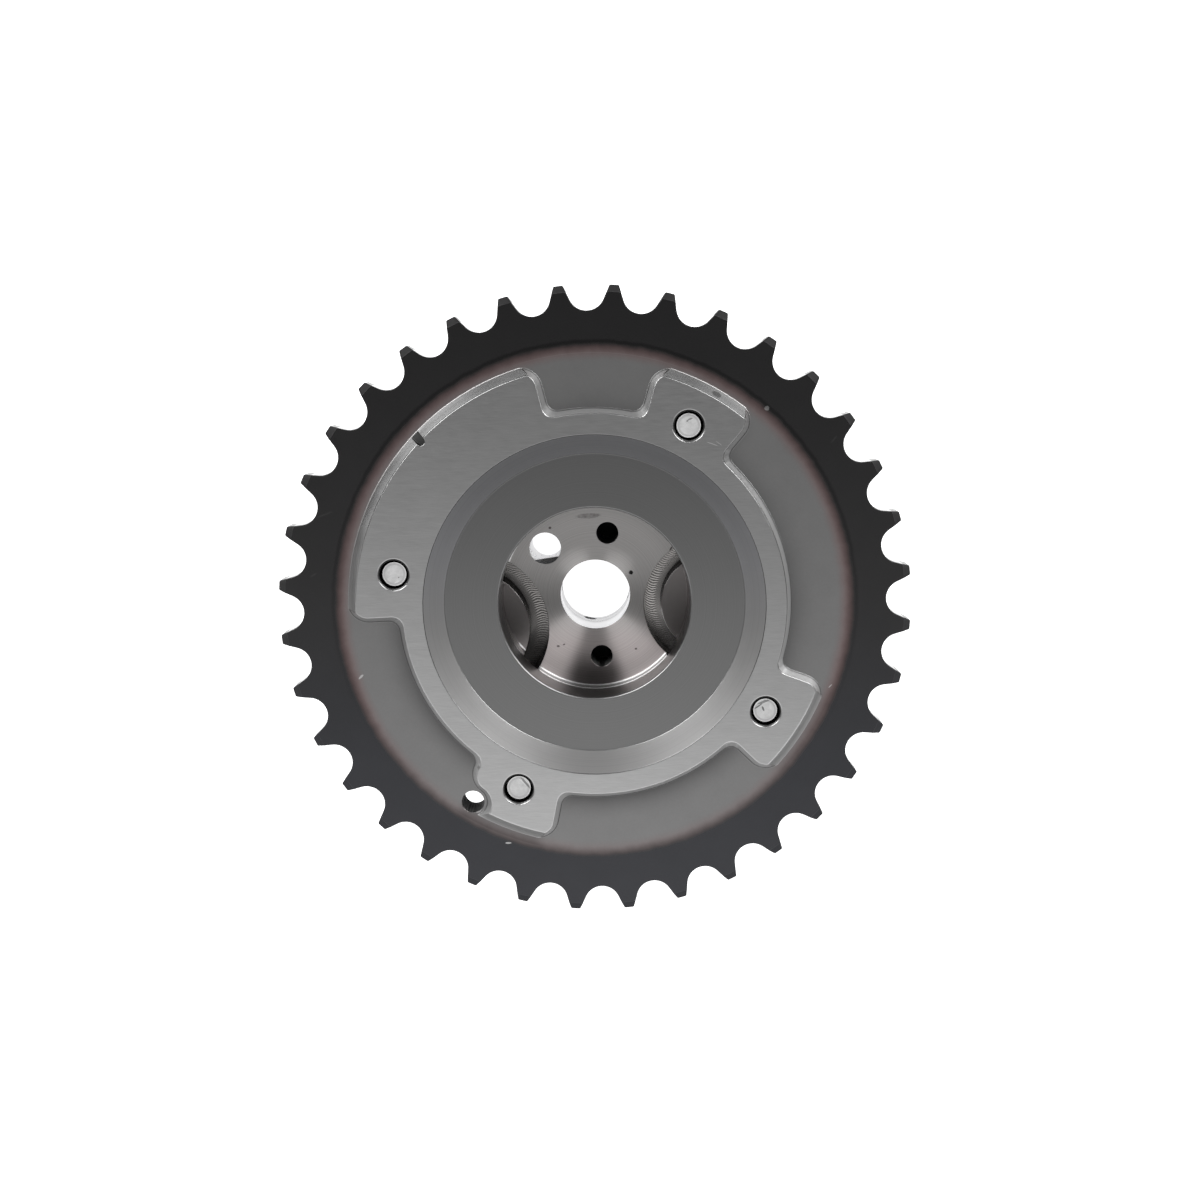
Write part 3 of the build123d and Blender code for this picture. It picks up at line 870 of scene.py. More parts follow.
    def ground_lobes(self, s: Shading, colour: Socket, lines: Socket) -> Socket:
        """Adds the lobes' ground faces with painted shade across them, their sides, the painted highlight
        along their outer edges and painted shade on their inner edges.

        Args:
            s: the material's shading.
            colour: what the rest of the sprocket looks like.
            lines: the grinding lines.

        Returns:
            The colour with the lobes on it.
        """
        g = s.graph
        face, foot = LEVELS.lobe_face, LEVELS.tooth_face
        colour = g.paint(colour, self.lobe_sides(s), g.band(s.height, foot + 0.02, face - 0.06, 0.03))
        # Painted shade across the lobes' faces, darker towards the top.
        tone = g.between(g.window(g.dot(s.place, self.painted_shade_way), -38.0, 36.0), 1.1, 0.82)
        lobe = g.shaded(self.lobe, g.linear(lines, 0.34, 0.83), tone)
        colour = g.paint(colour, lobe, g.window(s.height, face - 0.25, face - 0.03))
        outside = g.window(s.radius, LEVELS.dish_edge_radius + 0.6, LEVELS.dish_edge_radius + 0.8)
        on_edge = g.band(s.height, face - 0.13, face - 0.025, 0.03)
        colour = g.paint(colour, self.outer_line(s), on_edge, outside)
        # Painted shade on the lobes' inner edges, darkest at the top.
        inner = g.shaded(self.inner_edge, g.between(g.window(s.across, 10.0, -15.0), 1.0, 3.0))
        on_edge = g.band(s.height, face - 0.13, face - 0.014, 0.01)
        return g.paint(colour, inner, on_edge, g.math("SUBTRACT", 1.0, outside))

    def turned_dish(self, s: Shading, rings: Socket) -> Socket:
        """Colour of the dish, its side and the rim of the journal bore, with painted shade: the floor and
        the rim darker towards the top, the crease at the floor's edge darker at the top, and the side
        darker at its top and bottom than in the middle.

        Args:
            s: the material's shading.
            rings: the turned rings.

        Returns:
            The colour.
        """
        g = s.graph
        floor = LEVELS.dish_floor
        # Painted shade on the floor, in the crease at its edge, on the side and on the bore's rim.
        upper = g.factor(g.window(s.across, -10.0, 25.0), 0.88)
        crease_shade = g.times(g.band(s.height, floor + 0.008, floor + 0.1, 0.02), g.window(s.across, -5.0, 10.0))
        flat = g.shaded(self.dish, upper, g.factor(crease_shade, 0.62))
        high = g.between(g.window(s.across, 0.0, 26.0), 1.18, 0.82)
        low = g.factor(g.window(s.across, -6.0, -22.0), 0.8)
        cone = g.mix(g.window(s.across, 12.0, -8.0), self.cone, self.lower_cone)
        dish = g.mix(self.on_cone(s), flat, g.shaded(cone, high, low))
        dish = g.shaded(dish, g.linear(rings, 0.08, 0.96))
        near = g.window(s.radius, LEVELS.journal_radius + 0.25, LEVELS.journal_radius + 0.2)
        rim = g.shaded(self.rim, g.between(g.window(s.across, 3.0, 10.0), 1.1, 0.72))
        return g.paint(dish, rim, near, g.window(s.height, floor - 0.22, floor - 0.2))

    def openings(self, s: Shading, colour: Socket) -> tuple[Socket, Socket, Socket]:
        """Paints shade on the walls of the notch, the bolt holes and the tool hole.

        Args:
            s: the material's shading.
            colour: of the sprocket without them.

        Returns:
            The colour, the share of the tool hole and that of the bolt holes.
        """
        g = s.graph
        face, foot, radius = LEVELS.lobe_face, LEVELS.tooth_face, self.bolt_hole_radius
        rise = g.math("ADD", s.radius, s.height)
        under_bevel = g.window(rise, LEVELS.bevel_sum - 0.02, LEVELS.bevel_sum - 0.12)
        # Painted shade on the notch's walls.
        in_notch = g.times(
            under_bevel,
            s.mark(self.notch),
            g.window(s.height, face - 0.03, face - 0.1),
            g.window(s.height, foot + 0.01, foot + 0.03),
        )
        colour = g.paint(colour, self.hole_shade, in_notch)
        below = g.window(s.height, face - 0.02, face - 0.06)
        at_bolts = 0.0
        # Painted shadow in the bolt holes: black inside their radius.
        for bolt in BOLTS:
            place = middle_of(bolt)
            away = s.away(place.x, place.y + 0.1)
            sunk = g.mix(g.window(away, radius + 0.04, radius), self.dish, SHADOW)
            here = g.times(below, g.window(away, radius + 0.5, radius + 0.4))
            colour = g.paint(colour, sunk, here)
            at_bolts = g.math("MAXIMUM", at_bolts, here)
        # Streaky painted shade on the tool hole's wall.
        away, along = s.effect(CENTRED, centre=polar(*self.tool_hole_place))
        streaks = s.rings(along, pitch=0.35, waver=0.1)
        inside = g.window(away, self.tool_hole_radius + 0.03, self.tool_hole_radius)
        in_hole = g.times(inside, g.window(s.height, foot - 0.02, foot - 0.1))
        colour = g.paint(colour, g.shaded(self.hole_shade, streaks, streaks), in_hole)
        return colour, in_hole, at_bolts

    def material(self) -> bpy.types.Material:
        """Builds the material.

        Returns:
            The material.
        """
        s = Shading("sintered_sprocket", 1.0, 0.45)
        g = s.graph
        face, foot, rim = LEVELS.lobe_face, LEVELS.tooth_face, LEVELS.lobe_edge_radius
        level = s.effect(LINES, pitch=0.2, length=3.0, turn=3.0)[0]
        slanting = s.effect(LINES, pitch=0.24, length=2.4, turn=-11.0)[0]
        lines = g.math("ADD", g.times(level, 0.65), g.times(slanting, 0.35))
        rings = s.rings(s.radius, pitch=0.22, waver=0.4)
        mottle = s.mottle(size=5.0, strength=0.22)
        reach = g.math("ADD", s.radius, g.linear(g.noise(s.place, 0.5, detail=3.0), 0.6, -0.3))
        on_teeth = g.window(reach, LEVELS.teeth_radius - 0.2, LEVELS.teeth_radius + 0.65)
        colour = g.mix(on_teeth, self.plate_colour(s, reach, mottle), self.teeth_colour(s, reach, mottle))
        below = g.window(s.height, foot - self.flank_depth, foot - self.flank_depth - 0.07)
        beyond = g.window(s.radius, LEVELS.teeth_radius + 1.0, LEVELS.teeth_radius + 1.2)
        colour = g.paint(colour, self.flank, below, beyond)
        colour = self.ground_lobes(s, colour, lines)
        in_dish = self.in_dish(s)
        colour = g.mix(in_dish, colour, self.turned_dish(s, rings))
        colour, in_hole, at_bolts = self.openings(s, colour)
        for kind in self.wear:
            colour = kind.over(s, colour)
        s.set("Base Color", colour)
        on_lobe = g.window(s.height, face - 0.25, face - 0.05)
        rough = g.between(on_lobe, self.plate_roughness, g.linear(lines, 0.06, 0.27))
        on_wall = g.times(g.band(s.height, foot + 0.04, face - 0.1, 0.1), g.window(s.radius, 33.0, 33.2))
        rough = g.between(g.times(on_wall, g.math("SUBTRACT", 1.0, at_bolts)), rough, self.wall_roughness)
        turned = g.times(self.on_turned_bevel(s), g.window(s.radius, rim - 0.1, rim))
        on_bevel = g.times(g.band(s.height, foot + 0.1, face - 0.1, 0.1), turned)
        lower = g.window(s.across, 20.0, -8.0)
        rough = g.between(on_bevel, rough, g.between(lower, *self.bevel_roughness))
        rough = g.between(in_dish, rough, g.between(self.on_cone(s), *self.dish_roughness))
        rough = g.between(on_teeth, rough, g.between(self.on_tips(s), *self.teeth_roughness))
        s.set("Roughness", g.between(in_hole, rough, self.hole_roughness))
        s.set("Metallic", g.factor(in_hole, 0.0))
        relief = g.math("ADD", g.times(on_lobe, lines), g.times(in_dish, rings, 0.4))
        s.set("Normal", g.bump(relief, self.relief))
        return s.material


@dataclass(frozen=True)
class RotorFinish:
    """Sintered rotor with a turned seat and milled grooves.

    The bore has dark lines at some depths below the seat, and sectors where its rim has painted
    shade. The painted shadow on the dowel hole's side lies past a plane, given by its normal and its
    distance. The bright lines at the seat's corner, the register and the islands' edges are painted
    highlights.
    """

    seat: Colour = (0.36, 0.35, 0.345)
    lower_seat: Colour = (0.39, 0.355, 0.351)
    island: Colour = (0.26, 0.243, 0.241)
    body: Colour = grey(0.3)
    # Painted highlight on the seat's corner, the register and the islands' edges; also the colour of the
    # bright streak.
    edge_line: Colour = grey(0.95)
    bore: Colour = (0.76, 0.76, 0.77)
    bore_lines: tuple[float, ...] = (6.9, 8.3, 11.2)
    bore_step: float = 6.9
    # Sectors where the bore's rim gets painted shade.
    bore_gaps: tuple[tuple[float, float], ...] = ((-170.0, -138.0), (-102.0, -74.0), (-42.0, -10.0))
    groove: Colour = (0.42, 0.405, 0.395)
    stroke_pitch: float = 0.46
    stain: Colour = (0.06, 0.05, 0.05)
    bore_radius: float = 6.4
    seat_radius: float = 17.3
    dowel_hole: Mark = Mark(12.53, 137.25, 3.4, 3.4)
    dowel_shade: tuple[float, float, float] = (0.153, -0.988, 0.118)
    dowel_shade_reach: float = 1.84
    ports: tuple[Mark, ...] = (Mark(11.58, 79.0, 2.4, 2.4), Mark(11.58, 275.8, 2.4, 2.4))
    grooves: tuple[Groove, ...] = (
        Groove(23.76, 195.9, 10.7, 14.3, 0.85, -5.5),
        Groove(21.17, 355.4, 8.95, 12.2, 1.25, -3.0),
    )
    specks: tuple[Mark, ...] = (
        Mark(14.83, 124.0, 0.3, 0.25),
        Mark(11.92, -125.4, 0.3, 0.22),
        Mark(11.05, -121.7, 0.25, 0.15, 20.0),
        Mark(12.66, -53.7, 0.25, 0.2),
        Mark(16.3, 31.5, 0.6, 0.15, 60.0),
    )
    smear: Mark = Mark(14.55, 95.0, 2.3, 0.5, 3.0)
    streak: Mark = Mark(16.7, -143.6, 1.2, 0.14, -49.0)
    punch: Mark = Mark(7.715, 31.75, 0.4, 0.4)
    body_roughness: float = 0.36
    seat_roughness: float = 0.33
    groove_roughness: float = 0.18
    bore_roughness: float = 0.19
    shade_roughness: float = 0.9
    relief: float = 0.015

    def below_seat(self, s: Shading) -> Socket:
        """Share of all that lies deeper than the seat."""
        return s.graph.window(s.height, LEVELS.seat - 0.12, LEVELS.seat - 0.3)

    def milled_grooves(self, s: Shading, colour: Socket) -> tuple[Socket, Socket, Socket]:
        """Adds the arc grooves, with painted light and shade, and the darker islands that they cut off,
        with a painted shadow along the grooves' outer edges and a painted highlight on the islands' edges.

        Args:
            s: the material's shading.
            colour: of the rotor without them.

        Returns:
            The colour, the share of the grooves and their ripple's relief.
        """
        g = s.graph
        on_face = g.window(s.height, LEVELS.seat - 0.2, LEVELS.seat - 0.05)
        at_edge = g.band(s.height, LEVELS.seat - 0.14, LEVELS.seat - 0.01, 0.02)
        in_groove, ripple = 0.0, 0.0
        for groove in self.grooves:
            inner, outer = groove.inner, groove.outer
            middle = (inner + outer) / 2
            stroke, across = s.effect(
                CHATTER,
                centre=groove.centre(),
                turn=groove.angle - 180.0,
                middle=middle,
                pitch=self.stroke_pitch,
            )
            here = g.times(self.below_seat(s), g.band(across, inner - 0.3, outer + 0.3, 0.2))
            cut = g.times(stroke, g.band(across, middle - 0.6, outer - 0.3, 0.7))
            # Painted light on the groove that falls off below a height, painted shade towards the top and a
            # painted shadow beside the inner wall.
            lit = g.between(g.window(s.across, -12.0, groove.lit_above), 0.28, 1.0)
            upper = g.factor(g.window(s.across, -1.0, 6.0), 0.85)
            inside = g.times(g.window(across, inner + 0.06, inner + 0.02), g.window(s.across, -5.0, 0.0))
            tone = g.times(g.linear(cut, 0.4, 0.85), lit, upper, g.factor(inside, 0.12), groove.tone)
            colour = g.paint(colour, g.shaded(self.groove, tone), here)
            colour = g.paint(colour, self.island, on_face, g.window(across, inner + 0.1, inner - 0.1))
            # Painted shadow along the outer edge at the bottom, and painted highlight along the island's edge
            # in one sector.
            on_outer = g.times(at_edge, g.band(across, outer - 0.1, outer + 0.2, 0.06))
            colour = g.paint(colour, SHADOW, on_outer, g.window(s.across, 2.0, -2.0))
            on_inner = g.times(at_edge, g.band(across, inner - 0.25, inner + 0.1, 0.06))
            colour = g.paint(colour, self.edge_line, on_inner, g.band(s.turn, -40.0, -12.0, 4.0))
            in_groove = g.math("MAXIMUM", in_groove, here)
            ripple = g.math("ADD", ripple, g.times(here, cut))
        return colour, in_groove, ripple

    def holes(self, s: Shading, colour: Socket) -> tuple[Socket, Socket, Socket]:
        """Adds the ports with painted black shadow, the pale bore with painted shade on its rim in some
        sectors, and the dowel hole with painted shadow on one side.

        Args:
            s: the material's shading.
            colour: of the rotor without them.

        Returns:
            The colour with them, the share of the pale walls and that of the dowel hole's painted shadow.
        """
        g = s.graph
        below, seat = self.below_seat(s), LEVELS.seat
        # Painted black shadow in the ports.
        for port in self.ports:
            colour = g.paint(colour, SHADOW, below, s.mark(port))
        wall = g.factor(g.window(s.height, seat - self.bore_step, seat - self.bore_step - 0.2), 0.72)
        for depth in self.bore_lines:
            line = g.band(s.height, seat - depth - 0.16, seat - depth + 0.16, 0.1)
            wall = g.times(wall, g.factor(line, 0.35))
        in_bore = g.window(s.radius, self.bore_radius + 0.5, self.bore_radius + 0.3)
        in_dowel_hole = s.mark(self.dowel_hole)
        hole = g.times(below, g.math("MAXIMUM", in_dowel_hole, in_bore))
        colour = g.paint(colour, g.mix(in_bore, self.bore, g.shaded(self.bore, wall)), hole)
        on_rim = g.band(s.radius, self.bore_radius - 0.42, self.bore_radius - 0.2, 0.04)
        on_rim = g.times(on_rim, g.window(s.height, seat - 0.2, seat - 0.02))
        # Painted shade on the bore's rim in some sectors.
        for start, end in self.bore_gaps:
            colour = g.paint(colour, SHADOW, on_rim, g.band(s.turn, start, end, 8.0))
        # Painted shadow on the side of the dowel hole past a plane.
        from_hole = g.vector("SUBTRACT", s.place, self.dowel_hole.centre(seat))
        reach = self.dowel_shade_reach
        past = g.window(g.dot(from_hole, self.dowel_shade), reach - 0.03, reach + 0.03)
        dark = g.times(below, in_dowel_hole, past)
        return g.paint(colour, SHADOW, dark), hole, dark

    def seat_colour(self, s: Shading, rings: Socket) -> Socket:
        """Colour of the turned seat, with painted light towards the top, painted shade near its rim at the
        top and a painted dark sector at its bottom.

        Args:
            s: the material's shading.
            rings: the turned rings.

        Returns:
            The colour.
        """
        g = s.graph
        # Painted light towards the top, painted shade near the rim at the top, and a painted dark sector at
        # the bottom.
        painted_shading = g.factor(g.window(s.across, -5.0, 8.0), 1.32)
        painted_rim_shade = g.times(g.window(s.radius, 13.6, 16.6), g.window(s.across, 2.0, 8.0))
        painted_dark_sector = g.times(g.window(s.radius, 9.0, 15.0), g.band(s.turn, -108.0, -72.0, 14.0))
        painted_shading = g.times(painted_shading, g.factor(painted_rim_shade, 0.88), g.factor(painted_dark_sector, 0.45))
        tone = g.mix(g.window(s.across, -2.0, -10.0), self.seat, self.lower_seat)
        return g.shaded(tone, painted_shading, g.linear(rings, 0.24, 0.88))

    def wear(self, s: Shading, colour: Socket) -> Socket:
        """Adds the specks, the oily smear, the streak and the punch mark on the seat.

        Args:
            s: the material's shading.
            colour: of the rotor without them.

        Returns:
            The colour with them.
        """
        g = s.graph
        colour = Wear(self.specks, self.stain, strength=0.8, level=LEVELS.seat).over(s, colour)
        cloud = g.noise(s.place, 1.4, detail=4.0)
        colour = g.paint(colour, self.stain, s.mark(self.smear, LEVELS.seat), cloud, 0.8)
        colour = g.paint(colour, self.edge_line, s.mark(self.streak, LEVELS.seat))
        return g.paint(colour, SHADOW, s.mark(self.punch, LEVELS.seat))

    def material(self) -> bpy.types.Material:
        """Builds the material.

        Returns:
            The material.
        """
        s = Shading("turned_rotor", 1.0, 0.3)
        g = s.graph
        seat, rim = LEVELS.seat, LEVELS.rotor_rim
        mottle = s.mottle(size=3.0, strength=0.2)
        rings = s.rings(s.radius, pitch=0.16, waver=0.2)
        on_seat = g.band(s.height, seat - 0.05, seat + 0.05, 0.05)
        colour = g.mix(on_seat, g.shaded(self.body, mottle), self.seat_colour(s, rings))
        # Painted highlight on the seat's corner fillet and on the register's edge.
        in_corner = g.band(s.height, seat + 0.03, seat + 0.3, 0.04)
        on_edge = g.math("MAXIMUM", in_corner, g.band(s.height, rim - 0.42, rim - 0.22, 0.02))
        near = g.band(s.radius, self.seat_radius - 0.6, self.seat_radius + 0.2, 0.1)
        colour = g.paint(colour, self.edge_line, near, on_edge)
        colour, in_groove, ripple = self.milled_grooves(s, colour)
        colour, hole, dark = self.holes(s, colour)
        s.set("Base Color", self.wear(s, colour))
        rough = g.between(on_seat, self.body_roughness, self.seat_roughness)
        rough = g.between(in_groove, rough, self.groove_roughness)
        rough = g.between(hole, rough, self.bore_roughness)
        s.set("Roughness", g.between(dark, rough, self.shade_roughness))
        s.set("Metallic", g.factor(dark, 0.0))
        s.set("Anisotropic", 1.0)
        s.set("Anisotropic Rotation", 0.25)
        s.set("Tangent", g.node("ShaderNodeTangent", direction_type="RADIAL", axis="Z").outputs[0])
        relief = g.math("ADD", g.times(rings, on_seat, 0.05), ripple)
        s.set("Normal", g.bump(relief, self.relief))
        return s.material


@dataclass(frozen=True)
class MachinedMetal:
    """Turned or ground metal with rings on the flat faces and a light mottle."""

    name: str
    colour: Colour
    roughness: float = 0.35
    pitch: float = 0.25
    depth: float = 0.006
    mottle: float = 0.15

    def material(self) -> bpy.types.Material:
        """Builds the material.

        Returns:
            The material.
        """
        s = Shading(self.name, 1.0, self.roughness)
        g = s.graph
        mottle = s.mottle(size=4.0, strength=self.mottle)
        rings = s.rings(s.radius, self.pitch, waver=0.3)
        levels = s.rings(s.height, self.pitch, waver=0.2)
        both = g.math("ADD", g.times(rings, 0.5), g.times(levels, 0.5))
        s.set("Base Color", g.shaded(self.colour, mottle, g.linear(both, 0.2, 0.9)))
        s.set("Roughness", g.linear(both, 0.14, self.roughness - 0.07))
        s.set("Normal", g.bump(both, self.depth))
        return s.material


@dataclass(frozen=True)
class CutTip:
    """End face of a bolt as it was cut off, with a painted highlight on its rim, a darker ring inside it
    and scars on some of them.
    """

    colour: Colour = grey(0.72)
    # Painted highlight on the rim of the end face.
    rim: Colour = grey(1.0)
    dip: Colour = grey(0.62)
    radius: float = 2.1
    relief: float = 0.02
    wear: tuple[Wear, ...] = (
        Wear(
            (
                Mark(34.48, -112.15, 1.1, 0.07, -41.0),
                Mark(33.95, -110.8, 0.9, 0.3, -50.0),
                Mark(33.95, -30.9, 1.1, 0.14, 30.0),
                Mark(35.04, 173.05, 0.6, 0.15, 25.0),
            ),
            grey(1.0),
            strength=0.5,
        ),
        Wear(
            (
                Mark(34.62, -29.98, 1.15, 0.22, 19.7),
                Mark(34.45, -111.1, 1.3, 0.2, -49.8),
                Mark(36.75, 63.1, 0.5, 0.15, 20.0),
            ),
            grey(0.05),
            strength=0.6,
        ),
        Wear(
            (
                Mark(36.27, 63.5, 0.2, 0.12, 20.0),
                Mark(35.22, -31.75, 0.5, 0.18, -70.0),
                Mark(34.26, -31.87, 0.9, 0.12, 34.6),
                Mark(34.85, 171.7, 0.12, 0.1),
            ),
            grey(0.05),
            strength=0.8,
        ),
    )

    def material(self) -> bpy.types.Material:
        """Builds the material.

        Returns:
            The material.
        """
        s = Shading("cut_bolt_steel", 1.0, 0.44)
        g = s.graph
        mottle = s.mottle(size=0.9, strength=0.9)
        pits = s.effect(PITS, spacing=0.5, size=0.5, share=0.4)[0]
        colour = g.paint(g.shaded(self.colour, mottle), self.dip, pits, 0.35)
        for bolt in BOLTS:
            place = middle_of(bolt)
            away = s.away(place.x, place.y)
            # A darker ring inside the rim, then a painted highlight on the rim itself.
            colour = g.paint(colour, self.dip, g.band(away, self.radius - 0.5, self.radius - 0.22, 0.12))
            colour = g.paint(colour, self.rim, g.band(away, self.radius - 0.12, self.radius + 0.1, 0.06))
        for kind in self.wear:
            colour = kind.over(s, colour)
        s.set("Base Color", colour)
        s.set("Normal", g.bump(mottle, self.relief))
        return s.material


@dataclass(frozen=True)
class MouldedPlastic:
    """Filled plastic of the seals, with a fine grain."""

    name: str
    colour: Colour
    roughness: float = 0.55
    relief: float = 0.01

    def material(self) -> bpy.types.Material:
        """Builds the material.

        Returns:
            The material.
        """
        s = Shading(self.name, 0.0, self.roughness)
        grain = s.mottle(size=0.8, strength=0.4)
        s.set("Base Color", s.graph.shaded(self.colour, grain))
        s.set("Roughness", s.graph.times(grain, self.roughness))
        s.set("Normal", s.graph.bump(grain, self.relief))
        return s.material


# Modelling

CIRCLE_POINTS = 96
TINY = 1e-6
FLAT = 0.95
SHARP = math.radians(18)
CORNER = math.radians(50)
LEVEL_ANGLE = math.radians(0.2)


def deselect_all() -> None:
    """Leaves no object selected."""
    bpy.ops.object.select_all(action="DESELECT")


def work_on(piece: bpy.types.Object) -> None:
    """Selects one object alone and makes it active.

    Args:
        piece: the object.
    """
    deselect_all()
    piece.select_set(True)
    bpy.context.view_layer.objects.active = piece


@contextmanager
def editing(piece: bpy.types.Object, mode: str = "FACE") -> Iterator[None]:
    """Edit mode on one piece, with nothing in it selected to begin with.

    Args:
        piece: what is edited.
        mode: VERT, EDGE or FACE.

    Yields:
        Nothing.
    """
    work_on(piece)
    bpy.ops.object.mode_set(mode="EDIT")
    bpy.ops.mesh.select_mode(type=mode)
    bpy.ops.mesh.select_all(action="DESELECT")
    yield
    bpy.ops.object.mode_set(mode="OBJECT")


def pick(piece: bpy.types.Object, wanted: Callable[[object], bool], kind: str = "faces") -> None:
    """Selects the faces, edges or verts that a test picks, in edit mode, and no others.

    Args:
        piece: the piece in edit mode.
        wanted: the test.
        kind: faces, edges or verts.
    """
    bpy.ops.mesh.select_all(action="DESELECT")
    mesh = bmesh.from_edit_mesh(piece.data)
    for element in getattr(mesh, kind):
        if wanted(element):
            element.select_set(True)
    mesh.select_flush_mode()
    bmesh.update_edit_mesh(piece.data)


def apply_modifier(piece: bpy.types.Object, kind: str, **settings: object) -> None:
    """Adds a modifier, sets it and applies it.

    Args:
        piece: what it is applied to.
        kind: the modifier's type.
        settings: its properties.
    """
    work_on(piece)
    modifier = piece.modifiers.new(kind.lower(), kind)
    for name, value in settings.items():
        setattr(modifier, name, value)
    bpy.ops.object.modifier_apply(modifier=modifier.name)


def smooth(piece: bpy.types.Object, angle: float = 30.0) -> None:
    """Shades a piece smooth, except across edges sharper than an angle."""
    work_on(piece)
    bpy.ops.object.shade_smooth_by_angle(angle=math.radians(angle))


@dataclass(frozen=True)
class RoundEdge:
    """Ring of edges about the axis, near a radius and a level, that is rounded more than the rest."""

    radius: float
    level: float
    width: float
    radius_reach: float = 0.15
    level_reach: float = 0.05

    def holds(self, edge: bmesh.types.BMEdge) -> bool:
        """Whether an edge belongs to the ring.

        Args:
            edge: of the mesh in edit mode.

        Returns:
            True where it is sharp and near the radius and the level.
        """
        if len(edge.link_faces) != 2 or edge.calc_face_angle(0.0) < SHARP:
            return False
        return all(
            abs(vertex.co.xy.length / MM - self.radius) <= self.radius_reach
            and abs(vertex.co.z / MM - self.level) <= self.level_reach
            for vertex in edge.verts
        )


def joined_copy(node: str, name: str) -> bpy.types.Object:
    """Copy of a CAD node whose loose triangles are joined.

    Args:
        node: the CAD node.
        name: of the copy.

    Returns:
        The copy, not yet on a body.
    """
    piece = bpy.data.objects.new(name, frame["nodes"][node].data.copy())
    bpy.context.scene.collection.objects.link(piece)
    with editing(piece, "VERT"):
        bpy.ops.mesh.select_all(action="SELECT")
        bpy.ops.mesh.remove_doubles(threshold=TINY / 2)
        bpy.ops.mesh.normals_make_consistent(inside=False)
    return piece


def merged_copy(node: str, name: str, edge: float, rounds: tuple[RoundEdge, ...] = ()) -> bpy.types.Object:
    """Copy of a CAD node with joined faces and softened edges.

    Args:
        node: the CAD node.
        name: of the copy.
        edge: width of the softened edges, in millimetres.
        rounds: edges that are rounded more than the rest.

    Returns:
        The copy, not yet on a body.
    """
    piece = joined_copy(node, name)
    with editing(piece, "VERT"):
        bpy.ops.mesh.select_all(action="SELECT")
        bpy.ops.mesh.dissolve_limited(angle_limit=LEVEL_ANGLE)
    for ring in rounds:
        with editing(piece, "EDGE"):
            pick(piece, ring.holds, "edges")
            bpy.ops.mesh.bevel(offset=ring.width * MM, segments=4, profile=0.5)
    work_on(piece)
    bpy.ops.object.shade_smooth()
    apply_modifier(
        piece,
        "BEVEL",
        width=edge * MM,
        segments=2,
        limit_method="ANGLE",
        angle_limit=SHARP,
        use_clamp_overlap=False,
    )
    apply_modifier(piece, "WEIGHTED_NORMAL", mode="FACE_AREA", weight=100, thresh=0.01)
    return piece


def dress(piece: bpy.types.Object, material: bpy.types.Material) -> None:
    """Gives a piece one material all over."""
    piece.data.materials.clear()
    piece.data.materials.append(material)


def report(piece: bpy.types.Object) -> None:
    """Logs a finished piece and its size."""
    log.info("%s: %d faces", piece.name, len(piece.data.polygons))


@dataclass
class CarriedNodes:
    """CAD nodes that keep their mesh and only get a finish."""

    nodes: tuple[str, ...]
    finish: MachinedMetal | MouldedPlastic

    def build(self) -> None:
        """Dresses each node."""
        material = self.finish.material()
        for node in self.nodes:
            dress(frame["nodes"][node], material)
            report(frame["nodes"][node])


@dataclass
class SoftenedNode:
    """A CAD node shown through a joined copy with softened edges."""

    node: str
    body: Body
    slot: Slot
    finish: SprocketFinish | RotorFinish | MachinedMetal
    edge: float = 0.08
    rounds: tuple[RoundEdge, ...] = ()

    def build(self) -> None:
        """Builds, dresses and places the copy."""
        piece = merged_copy(self.node, f"{self.node}_finished", self.edge, self.rounds)
        dress(piece, self.finish.material())
        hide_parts(self.node)
        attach(piece, self.body.value)
        report(piece)


@dataclass
class LockPinSpring:
    """Coil spring behind the lock pin, which shortens as the pin draws back."""

    finish: MachinedMetal
    node: str = "lock_pin_spring"
    joint: str = "lock_pin_slide"
    body: Body = Body.ROTOR
    slot: Slot = Slot.SPRING
    smooth_angle: float = 35.0

    def build(self) -> None:
        """Builds the spring, dresses it and puts it on its body."""
        piece = joined_copy(self.node, f"{self.node}_finished")
        smooth(piece, self.smooth_angle)
        dress(piece, self.finish.material())
        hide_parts(self.node)
        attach(piece, self.body.value)
        low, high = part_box(self.node)
        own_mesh(piece)
        report(piece)


